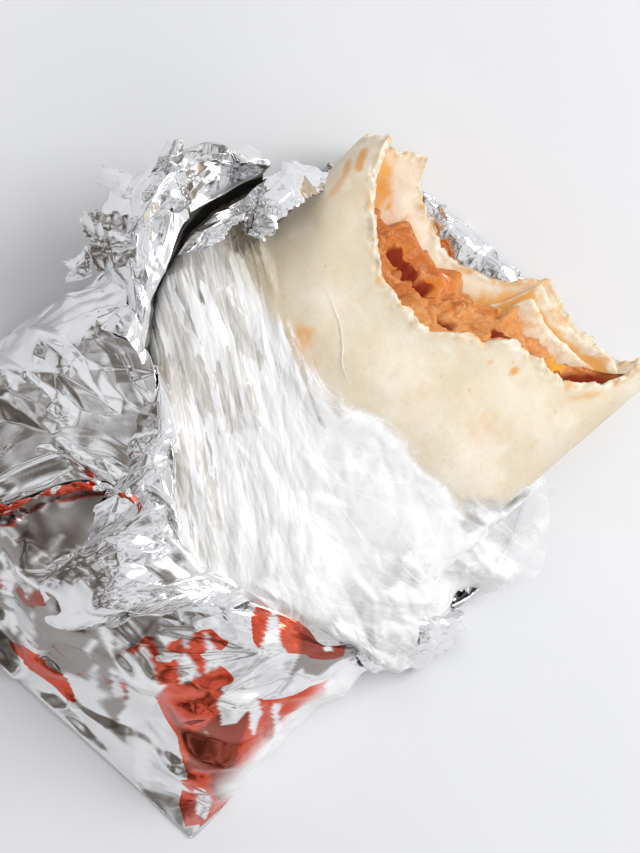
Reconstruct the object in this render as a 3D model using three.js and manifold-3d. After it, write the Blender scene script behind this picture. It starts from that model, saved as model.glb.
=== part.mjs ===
// A half-eaten flour-tortilla burrito lying on its side seam. The far end is still in its wrappings:
// a bunched sleeve of cling film, and over it a crumpled foil pouch whose mouth is peeled back.
// Millimetres. +X runs along the burrito to the bitten end, +Y across it, +Z up from the table.
import * as THREE from "three";
import Module from "manifold-3d";
import { mergeVertices } from "three/addons/utils/BufferGeometryUtils.js";

const wasm = await Module();
wasm.setup();

// ---------------------------------------------------------------- driving dimensions
const roll = {
  halfWidth: 46, // centre line to the folded edge at either side
  above: 24, // widest line up to the crown
  below: 16, // widest line down to the underside
  crownPower: 2.3, // superellipse powers: a domed crown over a flatter underside
  undersidePower: 3,
  restZ: 2.2, // underside above the table: foil, film and their gaps
  rearX: -74, // tucked end
  rearRound: 24, // length over which the tucked end closes
  rearPower: 2.6,
};
const gap = 0.35; // between neighbouring pieces
const wall = 2.4; // one layer of tortilla
const flap = { thick: 4.2, centreY: -26, spread: 20, step: 5, fadeIn: 70 }; // overlap low at -Y
const filmThick = 0.8;
const filmBunch = 3.4; // how far the bunched film stands out, over the crown and sides
const ringSides = 48;
const insideRows = 6; // the tortilla's inner face and the filling share these, so that they nest

// Two mouthfuls out of the front, each a disc at crown height and another at table height.
const bites = [
  { crown: { x: 65.4, y: 11, r: 31 }, base: { x: 77.6, y: 13, r: 24 } },
  { crown: { x: 71, y: -20, r: 21.6 }, base: { x: 94.4, y: -24, r: 28 } },
];
const frontLeft = 58; // folded edge at +Y reaches this far
const frontRight = 69.5; // and at -Y this far
const frontSlant = 0.85; // the uneaten tips run forward towards the middle

// ---------------------------------------------------------------- small helpers
const clamp01 = (t) => Math.min(1, Math.max(0, t));
const lerp = THREE.MathUtils.lerp;
const smooth = (low, high, x) => THREE.MathUtils.smoothstep(x, low, high);
const signedPower = (v, p) => Math.sign(v) * Math.abs(v) ** p;

// Repeatable value noise from -1 to 1 on a lattice, for lumps and crumples.
function hash(i, j, k) {
  const s = Math.sin(i * 127.1 + j * 311.7 + k * 74.7) * 43758.5453;
  return 2 * (s - Math.floor(s)) - 1;
}
function noise(x, y, z) {
  const cell = [x, y, z].map(Math.floor);
  const part = [x, y, z].map((v, n) => smooth(0, 1, v - cell[n]));
  let sum = 0;
  for (let corner = 0; corner < 8; corner++) {
    const at = [0, 1, 2].map((n) => (corner >> n) & 1);
    const weight = at.reduce((w, bit, n) => w * (bit ? part[n] : 1 - part[n]), 1);
    sum += weight * hash(cell[0] + at[0], cell[1] + at[1], cell[2] + at[2]);
  }
  return sum;
}

// Rows of points, each row a closed loop, made into one closed surface with a pole at either end.
// The loops run anticlockwise seen from the last row's side.
function closedSurface(firstPole, rows, lastPole) {
  const count = rows[0].length;
  const points = [firstPole, ...rows.flat(), lastPole];
  const last = points.length - 1;
  const faces = [];
  for (let i = 0; i < count; i++) {
    const j = (i + 1) % count;
    faces.push(0, 1 + j, 1 + i);
    for (let r = 0; r + 1 < rows.length; r++) {
      const a = 1 + r * count;
      const b = a + count;
      faces.push(a + i, a + j, b + i, a + j, b + j, b + i);
    }
    const end = 1 + (rows.length - 1) * count;
    faces.push(end + i, end + j, last);
  }
  const positions = new Float32Array(points.flatMap((p) => [p.x, p.y, p.z]));
  const geometry = new THREE.BufferGeometry();
  geometry.setAttribute("position", new THREE.BufferAttribute(positions, 3));
  geometry.setIndex(faces);
  return geometry;
}

function solidOf(geometry) {
  const merged = mergeVertices(geometry, 1e-4);
  return new wasm.Manifold(
    new wasm.Mesh({
      numProp: 3,
      vertProperties: new Float32Array(merged.attributes.position.array),
      triVerts: new Uint32Array(merged.index.array),
    }),
  );
}

// A boolean's main body. The slivers it leaves are merged away, well inside the gap to the next piece.
function geometryOf(solid) {
  const bodies = solid.simplify(gap / 8).decompose();
  const [main] = bodies.sort((a, b) => b.volume() - a.volume());
  const mesh = main.getMesh();
  const geometry = new THREE.BufferGeometry();
  geometry.setAttribute("position", new THREE.BufferAttribute(mesh.vertProperties, 3));
  geometry.setIndex(new THREE.BufferAttribute(mesh.triVerts, 1));
  return geometry;
}

// ---------------------------------------------------------------- the roll's envelope
const widestZ = roll.restZ + roll.below;
const crownZ = widestZ + roll.above;
const shoulderX = roll.rearX + roll.rearRound; // where the tucked end begins

// Soft swells along the roll, shared by every nested skin so that the gaps hold.
const swell = (x, angle) =>
  0.7 * Math.sin(x / 13 + 2 * Math.sin(angle)) * clamp01(0.35 + Math.sin(angle));

// A point on the roll's skin, moved out by grow: squeeze closes the section at the tucked end.
function skin(x, angle, grow, squeeze = 1) {
  const top = Math.sin(angle) >= 0;
  const power = 2 / (top ? roll.crownPower : roll.undersidePower);
  const out = grow + swell(x, angle);
  const y = (roll.halfWidth + out) * squeeze * signedPower(Math.cos(angle), power);
  const height = ((top ? roll.above : roll.below) + out) * squeeze;
  return new THREE.Vector3(x, y, widestZ + height * signedPower(Math.sin(angle), power));
}

const angleOf = (i) => (2 * Math.PI * i) / ringSides;
const loop = (makePoint) => Array.from({ length: ringSides }, (_, i) => makePoint(angleOf(i)));

// Loops of a skin from its pole at the tucked end as far as reach(angle), closer towards the front.
function skinRows(grow, reach, straightRows, capRows = 5) {
  const rows = [];
  for (let r = 1; r <= capRows; r++) {
    const turn = (Math.PI / 2) * (r / capRows);
    rows.push(
      loop((angle) => {
        const out = grow(shoulderX, angle);
        const x = shoulderX - (roll.rearRound + out) * Math.cos(turn) ** (2 / roll.rearPower);
        return skin(x, angle, out, Math.sin(turn) ** (2 / roll.rearPower));
      }),
    );
  }
  for (let r = 1; r <= straightRows; r++) {
    rows.push(
      loop((angle) => {
        const x = lerp(shoulderX, reach(angle), (r / straightRows) ** 0.75);
        return skin(x, angle, grow(x, angle));
      }),
    );
  }
  return rows;
}
const rearPole = (grow) => new THREE.Vector3(roll.rearX - grow, 0, widestZ);

// ---------------------------------------------------------------- the bitten front
// How far forward one set of discs leaves the roll at y.
function discReach(level, y) {
  let x = y > 0 ? frontLeft : frontRight;
  x += frontSlant * (roll.halfWidth - Math.abs(y));
  for (const bite of bites) {
    const disc = bite[level];
    const across = Math.abs(y - disc.y);
    if (across < disc.r) x = Math.min(x, disc.x - Math.sqrt(disc.r ** 2 - across ** 2));
  }
  return x;
}
function biteReach(y, z) {
  const share = clamp01((z - roll.restZ) / (crownZ - roll.restZ));
  return lerp(discReach("base", y), discReach("crown", y), share);
}
// The torn edge of the tortilla along one line of its skin.
function edgeReach(angle) {
  const p = skin(0, angle, 0);
  return biteReach(p.y, p.z) + 0.8 * noise(p.y / 3, p.z / 3, 7);
}

// ---------------------------------------------------------------- tortilla
// Wall thickness: one layer, and the overlapped flap low on one side, clear of the tucked end.
function wallAt(x, angle) {
  const p = skin(0, angle, 0);
  const low = 1 - smooth(widestZ - 4, widestZ + 6, p.z);
  const beside = 1 - smooth(0.6, 1.1, Math.abs(p.y - flap.centreY) / flap.spread);
  return wall + flap.thick * low * beside * smooth(shoulderX, shoulderX + flap.fadeIn, x);
}

function makeTortilla() {
  const outer = skinRows(() => 0, edgeReach, 13);
  // The torn rim steps back where the layers overlap.
  const steps = [0.5, 1].map((share) =>
    loop((angle) => {
      const edge = edgeReach(angle);
      const extra = wallAt(edge, angle) - wall;
      const x = edge - 0.6 - flap.step * share * clamp01(extra / flap.thick);
      return skin(x, angle, share === 1 ? -wall - extra : -wall);
    }),
  );
  const innerReach = (angle) => steps[1][Math.round((angle * ringSides) / (2 * Math.PI))].x - 1.5;
  const inner = skinRows((x, angle) => -wallAt(x, angle), innerReach, insideRows).reverse();
  return closedSurface(rearPole(0), [...outer, ...steps, ...inner], rearPole(-wall));
}

// ---------------------------------------------------------------- filling
const fillingGrow = (x, angle) => -wallAt(x, angle) - gap;

// The bitten face stands back from the torn rim, most in the empty fold at +Y and above the lower lip.
function fillingReach(y, z) {
  const share = clamp01((z - roll.restZ) / (crownZ - roll.restZ));
  const lip = lerp(6.5, 2, share);
  const emptyFold = 12 * smooth(22, 40, y);
  const farFold = 4 * smooth(30, 42, -y);
  return biteReach(y, z) - lip - emptyFold - farFold;
}

function makeFilling() {
  const reach = (angle) => {
    const p = skin(0, angle, fillingGrow(60, angle));
    return fillingReach(p.y, p.z);
  };
  const body = skinRows(fillingGrow, reach, insideRows);
  const rim = body[body.length - 1];
  // Rings shrink from the rim to a centre; lumps and one hollow come in away from the rim.
  const centre = { y: -2, z: widestZ + 3 };
  const hollow = { y: 9, z: 26, wide: 9, high: 7, deep: 4 };
  const faceAt = (p, share) => {
    const y = lerp(p.y, centre.y, share);
    const z = lerp(p.z, centre.z, share);
    const lump = 2.4 * noise(y / 9, z / 8, 3) * smooth(0, 0.25, share);
    const from = ((y - hollow.y) / hollow.wide) ** 2 + ((z - hollow.z) / hollow.high) ** 2;
    return new THREE.Vector3(fillingReach(y, z) + lump - hollow.deep * Math.exp(-from), y, z);
  };
  const faceRings = 7;
  const face = [];
  for (let r = 1; r < faceRings; r++) {
    face.push(rim.map((p) => faceAt(p, r / faceRings)));
  }
  return closedSurface(rearPole(-wall - gap), [...body, ...face], faceAt(rim[0], 1));
}

// ---------------------------------------------------------------- pouch mouth
// Control points round the pouch's mouth, from the rear crown over the -Y side, along the table
// under the bite and back up the +Y side.
const mouth = new THREE.CatmullRomCurve3(
  [
    [-47, -4, 45],
    [-38, -34, 38],
    [-27, -50, 22],
    [-9, -56, 9],
    [14, -57, 1.2],
    [40, -38, 1.2],
    [57, -6, 1.2],
    [55, 22, 1.2],
    [44, 45, 4],
    [31, 53, 17],
    [12, 55, 28],
    [-4, 54, 34],
    [-16, 43, 40],
    [-26, 27, 44],
    [-38, 12, 45.5],
  ].map(([x, y, z]) => new THREE.Vector3(x, y, z)),
  true,
);
const mouthLoop = mouth.getSpacedPoints(ringSides).slice(0, ringSides);

// How far along the roll the mouth's upper edge lies at y.
function mouthX(y) {
  const upper = mouthLoop.filter((p) => p.z > widestZ);
  upper.sort((a, b) => Math.abs(a.y - y) - Math.abs(b.y - y));
  return upper[0].x;
}

// ---------------------------------------------------------------- cling film
const filmFront = { left: 19, middle: 6, right: 17 };
function filmReach(angle) {
  const across = Math.cos(angle);
  const side = across > 0 ? filmFront.left : filmFront.right;
  return lerp(filmFront.middle, side, Math.abs(across) ** 2) + 2.5 * noise(9 * across, Math.sin(angle), 5);
}
// The film stands out in pleats round the roll where it is bunched in front of the pouch's mouth,
// never underneath.
function bunch(x, angle) {
  const p = skin(0, angle, 0);
  const clear = smooth(1, 10, x - mouthX(p.y));
  const up = smooth(-0.15, 0.35, Math.sin(angle));
  const pleat = 1 - Math.abs(noise((x + 0.12 * p.y) / 5, 1.2 * angle, 2));
  return filmBunch * clear * up * (0.45 + 0.55 * pleat);
}
const filmOuter = (x, angle) => gap + filmThick + bunch(x, angle);

// A loose wing of film on the -Y side, lying just above the table.
const wing = { fromX: 0, toX: 26, rootY: -47, tipY: -64, rootZ: 15, tipZ: 5, thick: 1.2 };
function makeWing() {
  const stations = 7;
  const across = 4;
  const rows = [];
  for (let s = 0; s <= stations; s++) {
    const x = lerp(wing.fromX, wing.toX, s / stations);
    const reach = Math.sin((Math.PI * (s + 1)) / (stations + 2));
    const line = [];
    for (let c = 0; c <= across; c++) {
      const t = c / across;
      const y = lerp(wing.rootY, wing.tipY, t * reach);
      const z = lerp(wing.rootZ, wing.tipZ, t * reach) + 0.9 * noise(x / 4, y / 4, 11);
      line.push(new THREE.Vector3(x, y, z));
    }
    const under = line.map((p) => p.clone().setZ(p.z - wing.thick)).reverse();
    rows.push([...line, ...under]);
  }
  const middle = (row) => row.reduce((sum, p) => sum.add(p), new THREE.Vector3()).divideScalar(row.length);
  return closedSurface(middle(rows[0]), rows, middle(rows[rows.length - 1]));
}

function makeFilm() {
  const outer = skinRows(filmOuter, filmReach, 15);
  const innerGrow = () => gap;
  const innerReach = (angle) => filmReach(angle) - 0.4;
  const inner = skinRows(innerGrow, innerReach, 6).reverse();
  const sleeve = closedSurface(rearPole(gap + filmThick), [...outer, ...inner], rearPole(gap));
  const core = closedSurface(
    rearPole(gap),
    skinRows(innerGrow, () => wing.toX + 10, 8),
    new THREE.Vector3(wing.toX + 10, 0, widestZ),
  );
  const wingOnly = solidOf(makeWing()).subtract(solidOf(core));
  return geometryOf(solidOf(sleeve).add(wingOnly));
}

// ---------------------------------------------------------------- foil pouch
// A flattened loop of the pouch from its -Y fold over the top to the +Y fold and back underneath.
function pouchLoop({ right, left, height, powers: [rightPower, leftPower], lift }) {
  return mouthLoop.map((_, i) => {
    const turn = i / ringSides;
    // The mouth's loop starts at the rear crown; the quarter points of this one follow it.
    const angle = Math.PI / 2 - 2 * Math.PI * turn;
    const across = signedPower(Math.cos(angle), 0.8);
    const share = (across + 1) / 2; // 0 at the +Y fold, 1 at the -Y fold
    const x = lerp(left.x, right.x, share);
    const y = lerp(left.y, right.y, share);
    const out = across > 0 ? y / right.y : y / left.y;
    const power = across > 0 ? rightPower : leftPower;
    const dome = height * (1 - clamp01(Math.abs(out)) ** power) ** (1 / power);
    const z = Math.sin(angle) > 0 ? Math.max(dome, lift) : 0;
    return new THREE.Vector3(x, y, z);
  });
}
const pouchLoops = [
  { right: { x: -95, y: -59 }, left: { x: -109, y: 59 }, height: 1.4, powers: [2, 2], lift: 1 },
  { right: { x: -82, y: -58 }, left: { x: -97, y: 61 }, height: 17, powers: [2, 1.7], lift: 1.2 },
  { right: { x: -66, y: -55 }, left: { x: -78, y: 64 }, height: 43, powers: [2.6, 1.8], lift: 1.5 },
  { right: { x: -46, y: -53 }, left: { x: -50, y: 67 }, height: 46, powers: [3, 2], lift: 1.8 },
].map(pouchLoop);

// Creased foil: folds stand out from the roll's middle line as sharp ridges, broad ones and small
// ones. There are none underneath, where the pouch lies flat.
const fold = { broad: 2.6, broadEvery: 17, small: 1.3, smallEvery: 7 };
function creased(p) {
  const ridge = (every) => 1 - Math.abs(noise(p.x / every, p.y / every, p.z / every));
  const out = fold.broad * ridge(fold.broadEvery) ** 3 + fold.small * ridge(fold.smallEvery) ** 2;
  const away = new THREE.Vector3(0, p.y / 3, p.z + 6).normalize();
  return p.clone().addScaledVector(away, out * smooth(0.5, 12, p.z));
}

function makePouchBlank() {
  const rowsPerSpan = 3;
  const rows = [];
  const flatMouth = mouthLoop.map((p) => p.clone().setZ(p.z < 2 ? 0 : p.z));
  for (let i = 0; i < pouchLoops.length; i++) {
    const from = pouchLoops[i];
    const to = pouchLoops[i + 1] ?? flatMouth;
    for (let r = 0; r < rowsPerSpan; r++) {
      rows.push(from.map((p, n) => creased(p.clone().lerp(to[n], r / rowsPerSpan))));
    }
  }
  rows.push(flatMouth, mouthLoop.map((p) => p.clone().add(new THREE.Vector3(0.4, 0, 0.4))));
  const seam = new THREE.Vector3(-102, 0, 0.6);
  return closedSurface(seam, rows, new THREE.Vector3(-10, 0, 21));
}

// The peeled-back collar: a creased ribbon round the upper mouth, wide over the +Y side.
const collarThick = 1.5;
const collarSpans = [
  { at: 0.02, out: [-22, -4, -17] },
  { at: 0.12, out: [-9, -11, -10] },
  { at: 0.19, out: [-3, -13, -9] },
  { at: 0.25, out: [0, -9, -4] },
  { at: 0.32, out: [1, -3, 0] },
  { at: 0.62, out: [2, 3, 3] },
  { at: 0.68, out: [1, 10, 4] },
  { at: 0.74, out: [5, 24, 0] },
  { at: 0.8, out: [-3, 24, -5] },
  { at: 0.86, out: [-14, 27, -18] },
  { at: 0.93, out: [-34, 26, -24] },
  { at: 1.02, out: [-22, -4, -17] },
];
function collarOut(t) {
  const from = t < collarSpans[0].at ? t + 1 : t;
  const i = collarSpans.findIndex((span) => span.at > from);
  const [a, b] = [collarSpans[i - 1], collarSpans[i]];
  const share = smooth(a.at, b.at, from);
  return new THREE.Vector3(...a.out.map((v, n) => lerp(v, b.out[n], share)));
}
function makeCollar() {
  const across = 4;
  const rows = mouthLoop.map((p, i) => {
    const out = collarOut(i / ringSides);
    const ragged = 1 + 0.12 * noise(i * 0.9, 1, 4);
    const line = [];
    for (let c = 0; c <= across; c++) {
      const t = c / across;
      const q = p.clone().addScaledVector(out, t * ragged - 0.08); // it starts just inside the pouch
      q.z += collarThick / 2 + 0.3 * out.length() * t * (1 - t); // and arches before it falls
      const crumple = 2.2 * smooth(0, 0.5, t) * smooth(2, 12, out.length());
      q.z = Math.max(collarThick, q.z + crumple * noise(q.x / 4, q.y / 4, 9));
      line.push(q);
    }
    const under = line.map((q) => q.clone().setZ(q.z - collarThick)).reverse();
    return [...line, ...under];
  });
  const count = rows[0].length;
  const faces = [];
  rows.forEach((_, r) => {
    const a = r * count;
    const b = ((r + 1) % rows.length) * count;
    for (let i = 0; i < count; i++) {
      const j = (i + 1) % count;
      faces.push(a + i, a + j, b + i, a + j, b + j, b + i);
    }
  });
  const geometry = new THREE.BufferGeometry();
  const positions = new Float32Array(rows.flat().flatMap((q) => [q.x, q.y, q.z]));
  geometry.setAttribute("position", new THREE.BufferAttribute(positions, 3));
  geometry.setIndex(faces);
  return geometry;
}

// Everything inside the pouch, with its gap, and a slot that gapes between foil and film at +Y.
function makePouchRoom() {
  const slot = { fromX: -30, wide: 3.5 };
  const grow = (x, angle) => {
    const gape = smooth(slot.fromX, slot.fromX + 14, x) * smooth(-0.3, 0.1, Math.sin(angle));
    return filmOuter(x, angle) + gap + slot.wide * gape * smooth(0.35, 0.75, Math.cos(angle));
  };
  const front = 100;
  const rows = skinRows(grow, () => front, 16);
  return closedSurface(rearPole(filmOuter(shoulderX, 0) + gap), rows, new THREE.Vector3(front, 0, widestZ));
}

function makePouch() {
  const blank = solidOf(makePouchBlank());
  const collar = solidOf(makeCollar());
  return geometryOf(blank.add(collar).subtract(solidOf(makePouchRoom())));
}

// ---------------------------------------------------------------- the assembled burrito
const looks = {
  tortilla: { color: 0xf0dfc0, roughness: 0.75, metalness: 0 },
  filling: { color: 0xb5632b, roughness: 0.55, metalness: 0 },
  cling_film: { color: 0xf4f6f8, roughness: 0.2, metalness: 0 },
  foil_pouch: { color: 0xc9cbce, roughness: 0.25, metalness: 1 },
};
const shapes = {
  tortilla: makeTortilla(),
  filling: makeFilling(),
  cling_film: makeFilm(),
  foil_pouch: makePouch(),
};

const burrito = new THREE.Group();
for (const [name, geometry] of Object.entries(shapes)) {
  geometry.computeVertexNormals();
  const mesh = new THREE.Mesh(geometry, new THREE.MeshStandardMaterial(looks[name]));
  mesh.name = name;
  burrito.add(mesh);
}
// The origin is under the middle of the whole, on the table.
const middle = new THREE.Box3().setFromObject(burrito).getCenter(new THREE.Vector3());
burrito.position.set(-middle.x, -middle.y, 0);

export default burrito;
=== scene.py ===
import math
import bpy
import numpy as np
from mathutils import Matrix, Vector


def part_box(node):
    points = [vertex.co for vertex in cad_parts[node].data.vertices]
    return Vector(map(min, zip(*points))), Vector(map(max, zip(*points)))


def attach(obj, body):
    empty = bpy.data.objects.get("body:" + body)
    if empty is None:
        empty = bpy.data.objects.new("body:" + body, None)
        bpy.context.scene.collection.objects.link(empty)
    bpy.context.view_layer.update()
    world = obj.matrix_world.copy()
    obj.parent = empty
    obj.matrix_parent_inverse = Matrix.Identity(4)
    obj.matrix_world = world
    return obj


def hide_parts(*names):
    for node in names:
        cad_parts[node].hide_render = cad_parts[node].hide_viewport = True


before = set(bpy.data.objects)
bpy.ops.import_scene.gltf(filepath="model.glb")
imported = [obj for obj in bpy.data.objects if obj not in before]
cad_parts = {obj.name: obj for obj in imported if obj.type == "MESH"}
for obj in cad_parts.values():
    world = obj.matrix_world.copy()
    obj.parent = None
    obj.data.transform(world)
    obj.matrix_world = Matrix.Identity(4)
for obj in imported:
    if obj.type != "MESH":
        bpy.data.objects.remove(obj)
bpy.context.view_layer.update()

# Everything below is worked out in millimetres round the roll's own middle line:
# x towards the bitten end, y across, z up from the table. toFrame puts it in the part's frame.
tortillaLow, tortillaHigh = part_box("tortilla")
roll = dict(
    halfWidth=46.0, above=24.0, below=16.0,     # widest line out, up to the crown, down to the underside
    crownPower=2.3, undersidePower=3.0,
    restZ=2.2, rearX=-74.0, rearRound=24.0, rearPower=2.6,
)
widestZ = roll["restZ"] + roll["below"]
crownZ = widestZ + roll["above"]
shoulderX = roll["rearX"] + roll["rearRound"]
rollMiddle = np.array([
    tortillaLow[0] * 1000 - roll["rearX"],
    (tortillaLow[1] + tortillaHigh[1]) * 500,
    0.0,
])


def toFrame(points):
    return (np.asarray(points, float) + rollMiddle) / 1000


# numbers and noise

def ease(low, high, x):     # 0 below low, 1 above high, smooth between
    t = np.clip((x - low) / (high - low), 0, 1)
    return t * t * (3 - 2 * t)


def blend(a, b, t):
    return a + (b - a) * t


def signedPower(v, p):
    return np.sign(v) * np.abs(v) ** p


def latticeRandom(i, j, k, seed):     # repeatable, from -1 to 1
    h = (i * 374761393 + j * 668265263 + k * 1442695041 + seed * 974711) & 0xffffffff
    h = ((h ^ (h >> 13)) * 1274126177) & 0xffffffff
    h = ((h ^ (h >> 16)) * 1181783497) & 0xffffffff
    return ((h >> 8) & 0xffff) / 32767.5 - 1


def softNoise(x, y, z, size, seed=0):     # smooth bumps about size across
    x, y, z = np.broadcast_arrays(x, y, z)
    cells = [np.floor(v / size).astype(np.int64) for v in (x, y, z)]
    parts = [ease(0, 1, v / size - c) for v, c in zip((x, y, z), cells)]
    total = np.zeros(x.shape)
    for corner in range(8):
        bits = [(corner >> n) & 1 for n in range(3)]
        weight = np.ones(x.shape)
        for bit, part in zip(bits, parts):
            weight = weight * (part if bit else 1 - part)
        total += weight * latticeRandom(*[c + bit for c, bit in zip(cells, bits)], seed)
    return total


def roughNoise(x, y, z, size, seed=0, octaves=3):
    total = 0
    for n in range(octaves):
        total = total + softNoise(x, y, z, size / 2 ** n, seed + 17 * n) / 2 ** n
    return total


# meshes

# points in mm, faces as rows of corner numbers, marks as a number for each point
def meshPiece(name, points, faces, materials, marks=None, materialOf=None):
    mesh = bpy.data.meshes.new(name)
    mesh.from_pydata(toFrame(points).tolist(), [], [list(map(int, f)) for f in faces])
    for material in materials:
        mesh.materials.append(material)
    if materialOf is not None:
        mesh.polygons.foreach_set("material_index", np.asarray(materialOf, np.int32))
    for label, values in (marks or {}).items():
        mark = mesh.attributes.new(label, "FLOAT", "POINT")
        mark.data.foreach_set("value", np.asarray(values, np.float32))
    mesh.polygons.foreach_set("use_smooth", np.ones(len(mesh.polygons), bool))
    mesh.update()
    piece = bpy.data.objects.new(name, mesh)
    bpy.context.scene.collection.objects.link(piece)
    return piece


def gridFaces(rows, columns, wrap=False):     # quads of a grid stored row by row
    across = np.arange(columns if wrap else columns - 1)
    a = np.arange(rows - 1)[:, None] * columns + across
    b = np.arange(rows - 1)[:, None] * columns + (across + 1) % columns
    return np.stack([a, b, b + columns, a + columns], axis=-1).reshape(-1, 4)


def closedTube(rows, firstPole, lastPole):     # rows of loops, with a pole at either end
    count, columns = rows.shape[:2]
    points = np.concatenate([rows.reshape(-1, 3), [firstPole, lastPole]])
    quads = gridFaces(count, columns, wrap=True)
    around = np.arange(columns)
    after = (around + 1) % columns
    end = (count - 1) * columns
    first = np.stack([np.full(columns, count * columns), after, around], axis=-1)
    last = np.stack([end + around, end + after, np.full(columns, count * columns + 1)], axis=-1)
    return points, [*quads, *first, *last]


def withPoles(values, first=0, last=0):     # the marks of a closed tube: its rows, then its two poles
    return np.append(values.ravel(), [first, last])


# shader maths

class Wire:     # a node's output that adds, multiplies and subtracts like a number
    def __init__(self, nodes, socket):
        self.nodes = nodes
        self.socket = socket

    def __add__(self, other):
        return self.nodes.maths("ADD", self, other)

    def __radd__(self, other):
        return self.nodes.maths("ADD", other, self)

    def __sub__(self, other):
        return self.nodes.maths("SUBTRACT", self, other)

    def __rsub__(self, other):
        return self.nodes.maths("SUBTRACT", other, self)

    def __mul__(self, other):
        return self.nodes.maths("MULTIPLY", self, other)

    def __rmul__(self, other):
        return self.nodes.maths("MULTIPLY", other, self)

    def __pow__(self, other):
        return self.nodes.maths("POWER", self, other)


class Nodes:     # a node tree that is built up one node at a time
    def __init__(self, tree):
        self.tree = tree
        tree.nodes.clear()

    def node(self, kind, settings=None, sockets=None, out=0):
        made = self.tree.nodes.new(kind)
        for key, value in (settings or {}).items():
            if key == "stops":
                setStops(made.color_ramp, value)
            else:
                setattr(made, key, value)
        for key, value in (sockets or {}).items():
            if isinstance(value, Wire):
                self.tree.links.new(value.socket, made.inputs[key])
            else:
                made.inputs[key].default_value = value
        return Wire(self, made.outputs[out])

    def maths(self, operation, a, b=0.5):
        return self.node("ShaderNodeMath", {"operation": operation}, {0: a, 1: b})

    def end(self, kind, socket, value):     # the output node that the tree ends in
        self.tree.links.new(value.socket, self.tree.nodes.new(kind).inputs[socket])


class Look(Nodes):     # the nodes of a material, or of the world
    def __init__(self, name, kind="materials", place="Object"):
        self.owner = getattr(bpy.data, kind).new(name)
        self.owner.use_nodes = True
        super().__init__(self.owner.node_tree)
        self.place = self.node("ShaderNodeTexCoord", out=place)

    def noise(self, scale, detail=3.0, rough=0.5, place=None, bend=0.0):
        values = {"Vector": place or self.place, "Scale": scale, "Detail": detail,
                  "Roughness": rough, "Distortion": bend}
        return self.node("ShaderNodeTexNoise", {}, values, "Fac")

    def cells(self, scale, place):     # straight-sided cells: how far their edge is, and a value for each
        values = {"Vector": place, "Scale": scale}
        flat = {"voronoi_dimensions": "2D"}
        edge = self.node("ShaderNodeTexVoronoi", {**flat, "feature": "DISTANCE_TO_EDGE"}, values, "Distance")
        tone = self.node("ShaderNodeTexVoronoi", {**flat, "feature": "F1"}, values, "Color")
        return edge, tone

    def mask(self, value, low, high):     # 0 below low, 1 above high
        settings = {"interpolation_type": "SMOOTHSTEP"}
        return self.node("ShaderNodeMapRange", settings, {"Value": value, "From Min": low, "From Max": high})

    def mark(self, name):     # a number painted on the mesh
        return self.node("ShaderNodeAttribute", {"attribute_name": name}, {}, "Fac")

    def mix(self, amount, a, b):     # two colours, by the sockets that a colour mix uses
        return self.node("ShaderNodeMix", {"data_type": "RGBA"}, {0: amount, 6: a, 7: b}, 2)

    def bump(self, height, distance, strength=1.0, under=None):     # distance in mm
        values = {"Height": height, "Distance": distance / 1000, "Strength": strength}
        if under:
            values["Normal"] = under
        return self.node("ShaderNodeBump", {}, values)

    def finish(self, values):     # a principled surface with these values
        self.end("ShaderNodeOutputMaterial", "Surface", self.node("ShaderNodeBsdfPrincipled", {}, values))
        return self.owner


def setStops(ramp, stops):     # stops as (place, colour)
    while len(ramp.elements) > 1:
        ramp.elements.remove(ramp.elements[-1])
    ramp.elements[0].position = stops[0][0]
    ramp.elements[0].color = stops[0][1]
    for at, colour in stops[1:]:
        ramp.elements.new(at).color = colour


def rgb(r, g, b):
    return (r, g, b, 1.0)


# the roll's envelope

def skin(x, angle, grow, squeeze=1.0):     # a point on the roll, moved out by grow
    top = np.sin(angle) >= 0
    power = 2 / np.where(top, roll["crownPower"], roll["undersidePower"])
    reach = np.where(top, roll["above"], roll["below"])
    y = (roll["halfWidth"] + grow) * squeeze * signedPower(np.cos(angle), power)
    z = widestZ + (reach + grow) * squeeze * signedPower(np.sin(angle), power)
    return np.stack(np.broadcast_arrays(x, y, z), axis=-1)


def rearCap(grow, count):     # x and size of the rows that round off the hidden end
    turns = np.linspace(0, np.pi / 2, count + 1)[1:]
    return [(shoulderX - (roll["rearRound"] + grow) * math.cos(turn) ** (2 / roll["rearPower"]),
             math.sin(turn) ** (2 / roll["rearPower"])) for turn in turns]


# two mouthfuls out of the front: a disc each at crown height and at table height
bites = [
    dict(crown=(65.4, 11, 31), base=(77.6, 13, 24)),
    dict(crown=(71, -20, 21.6), base=(94.4, -24, 28)),
]
frontReach = dict(left=55.0, right=69.5, slant=0.85)


def discReach(level, y):
    x = np.where(y > 0, frontReach["left"], frontReach["right"])
    x = x + frontReach["slant"] * (roll["halfWidth"] - np.abs(y))
    for bite in bites:
        middleX, middleY, radius = bite[level]
        across = np.minimum(np.abs(y - middleY), radius)
        inside = np.abs(y - middleY) < radius
        x = np.where(inside, np.minimum(x, middleX - np.sqrt(radius ** 2 - across ** 2)), x)
    return x


def levelShare(z):     # 0 at the underside, 1 at the crown
    return np.clip((z - roll["restZ"]) / (crownZ - roll["restZ"]), 0, 1)


def biteReach(y, z):     # how far the skin reaches before the bite
    return blend(discReach("base", y), discReach("crown", y), levelShare(z))


print("envelope and helpers ready")


# tortilla

tortilla = dict(
    around=540, wall=2.3,
    hiddenStep=4.0, shownStep=0.9, shownFrom=-34.0,
    dip=3.6, dipY=-35.5, dipWide=6.5,     # the lip dips before the tip
    scallop=1.5, scallopSize=6.0, tatter=1.1, tatterSize=1.9,
    dent=0.9, dentSize=19.0, pinch=3.2, pinchLength=22.0, flare=2.4,
)


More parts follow.
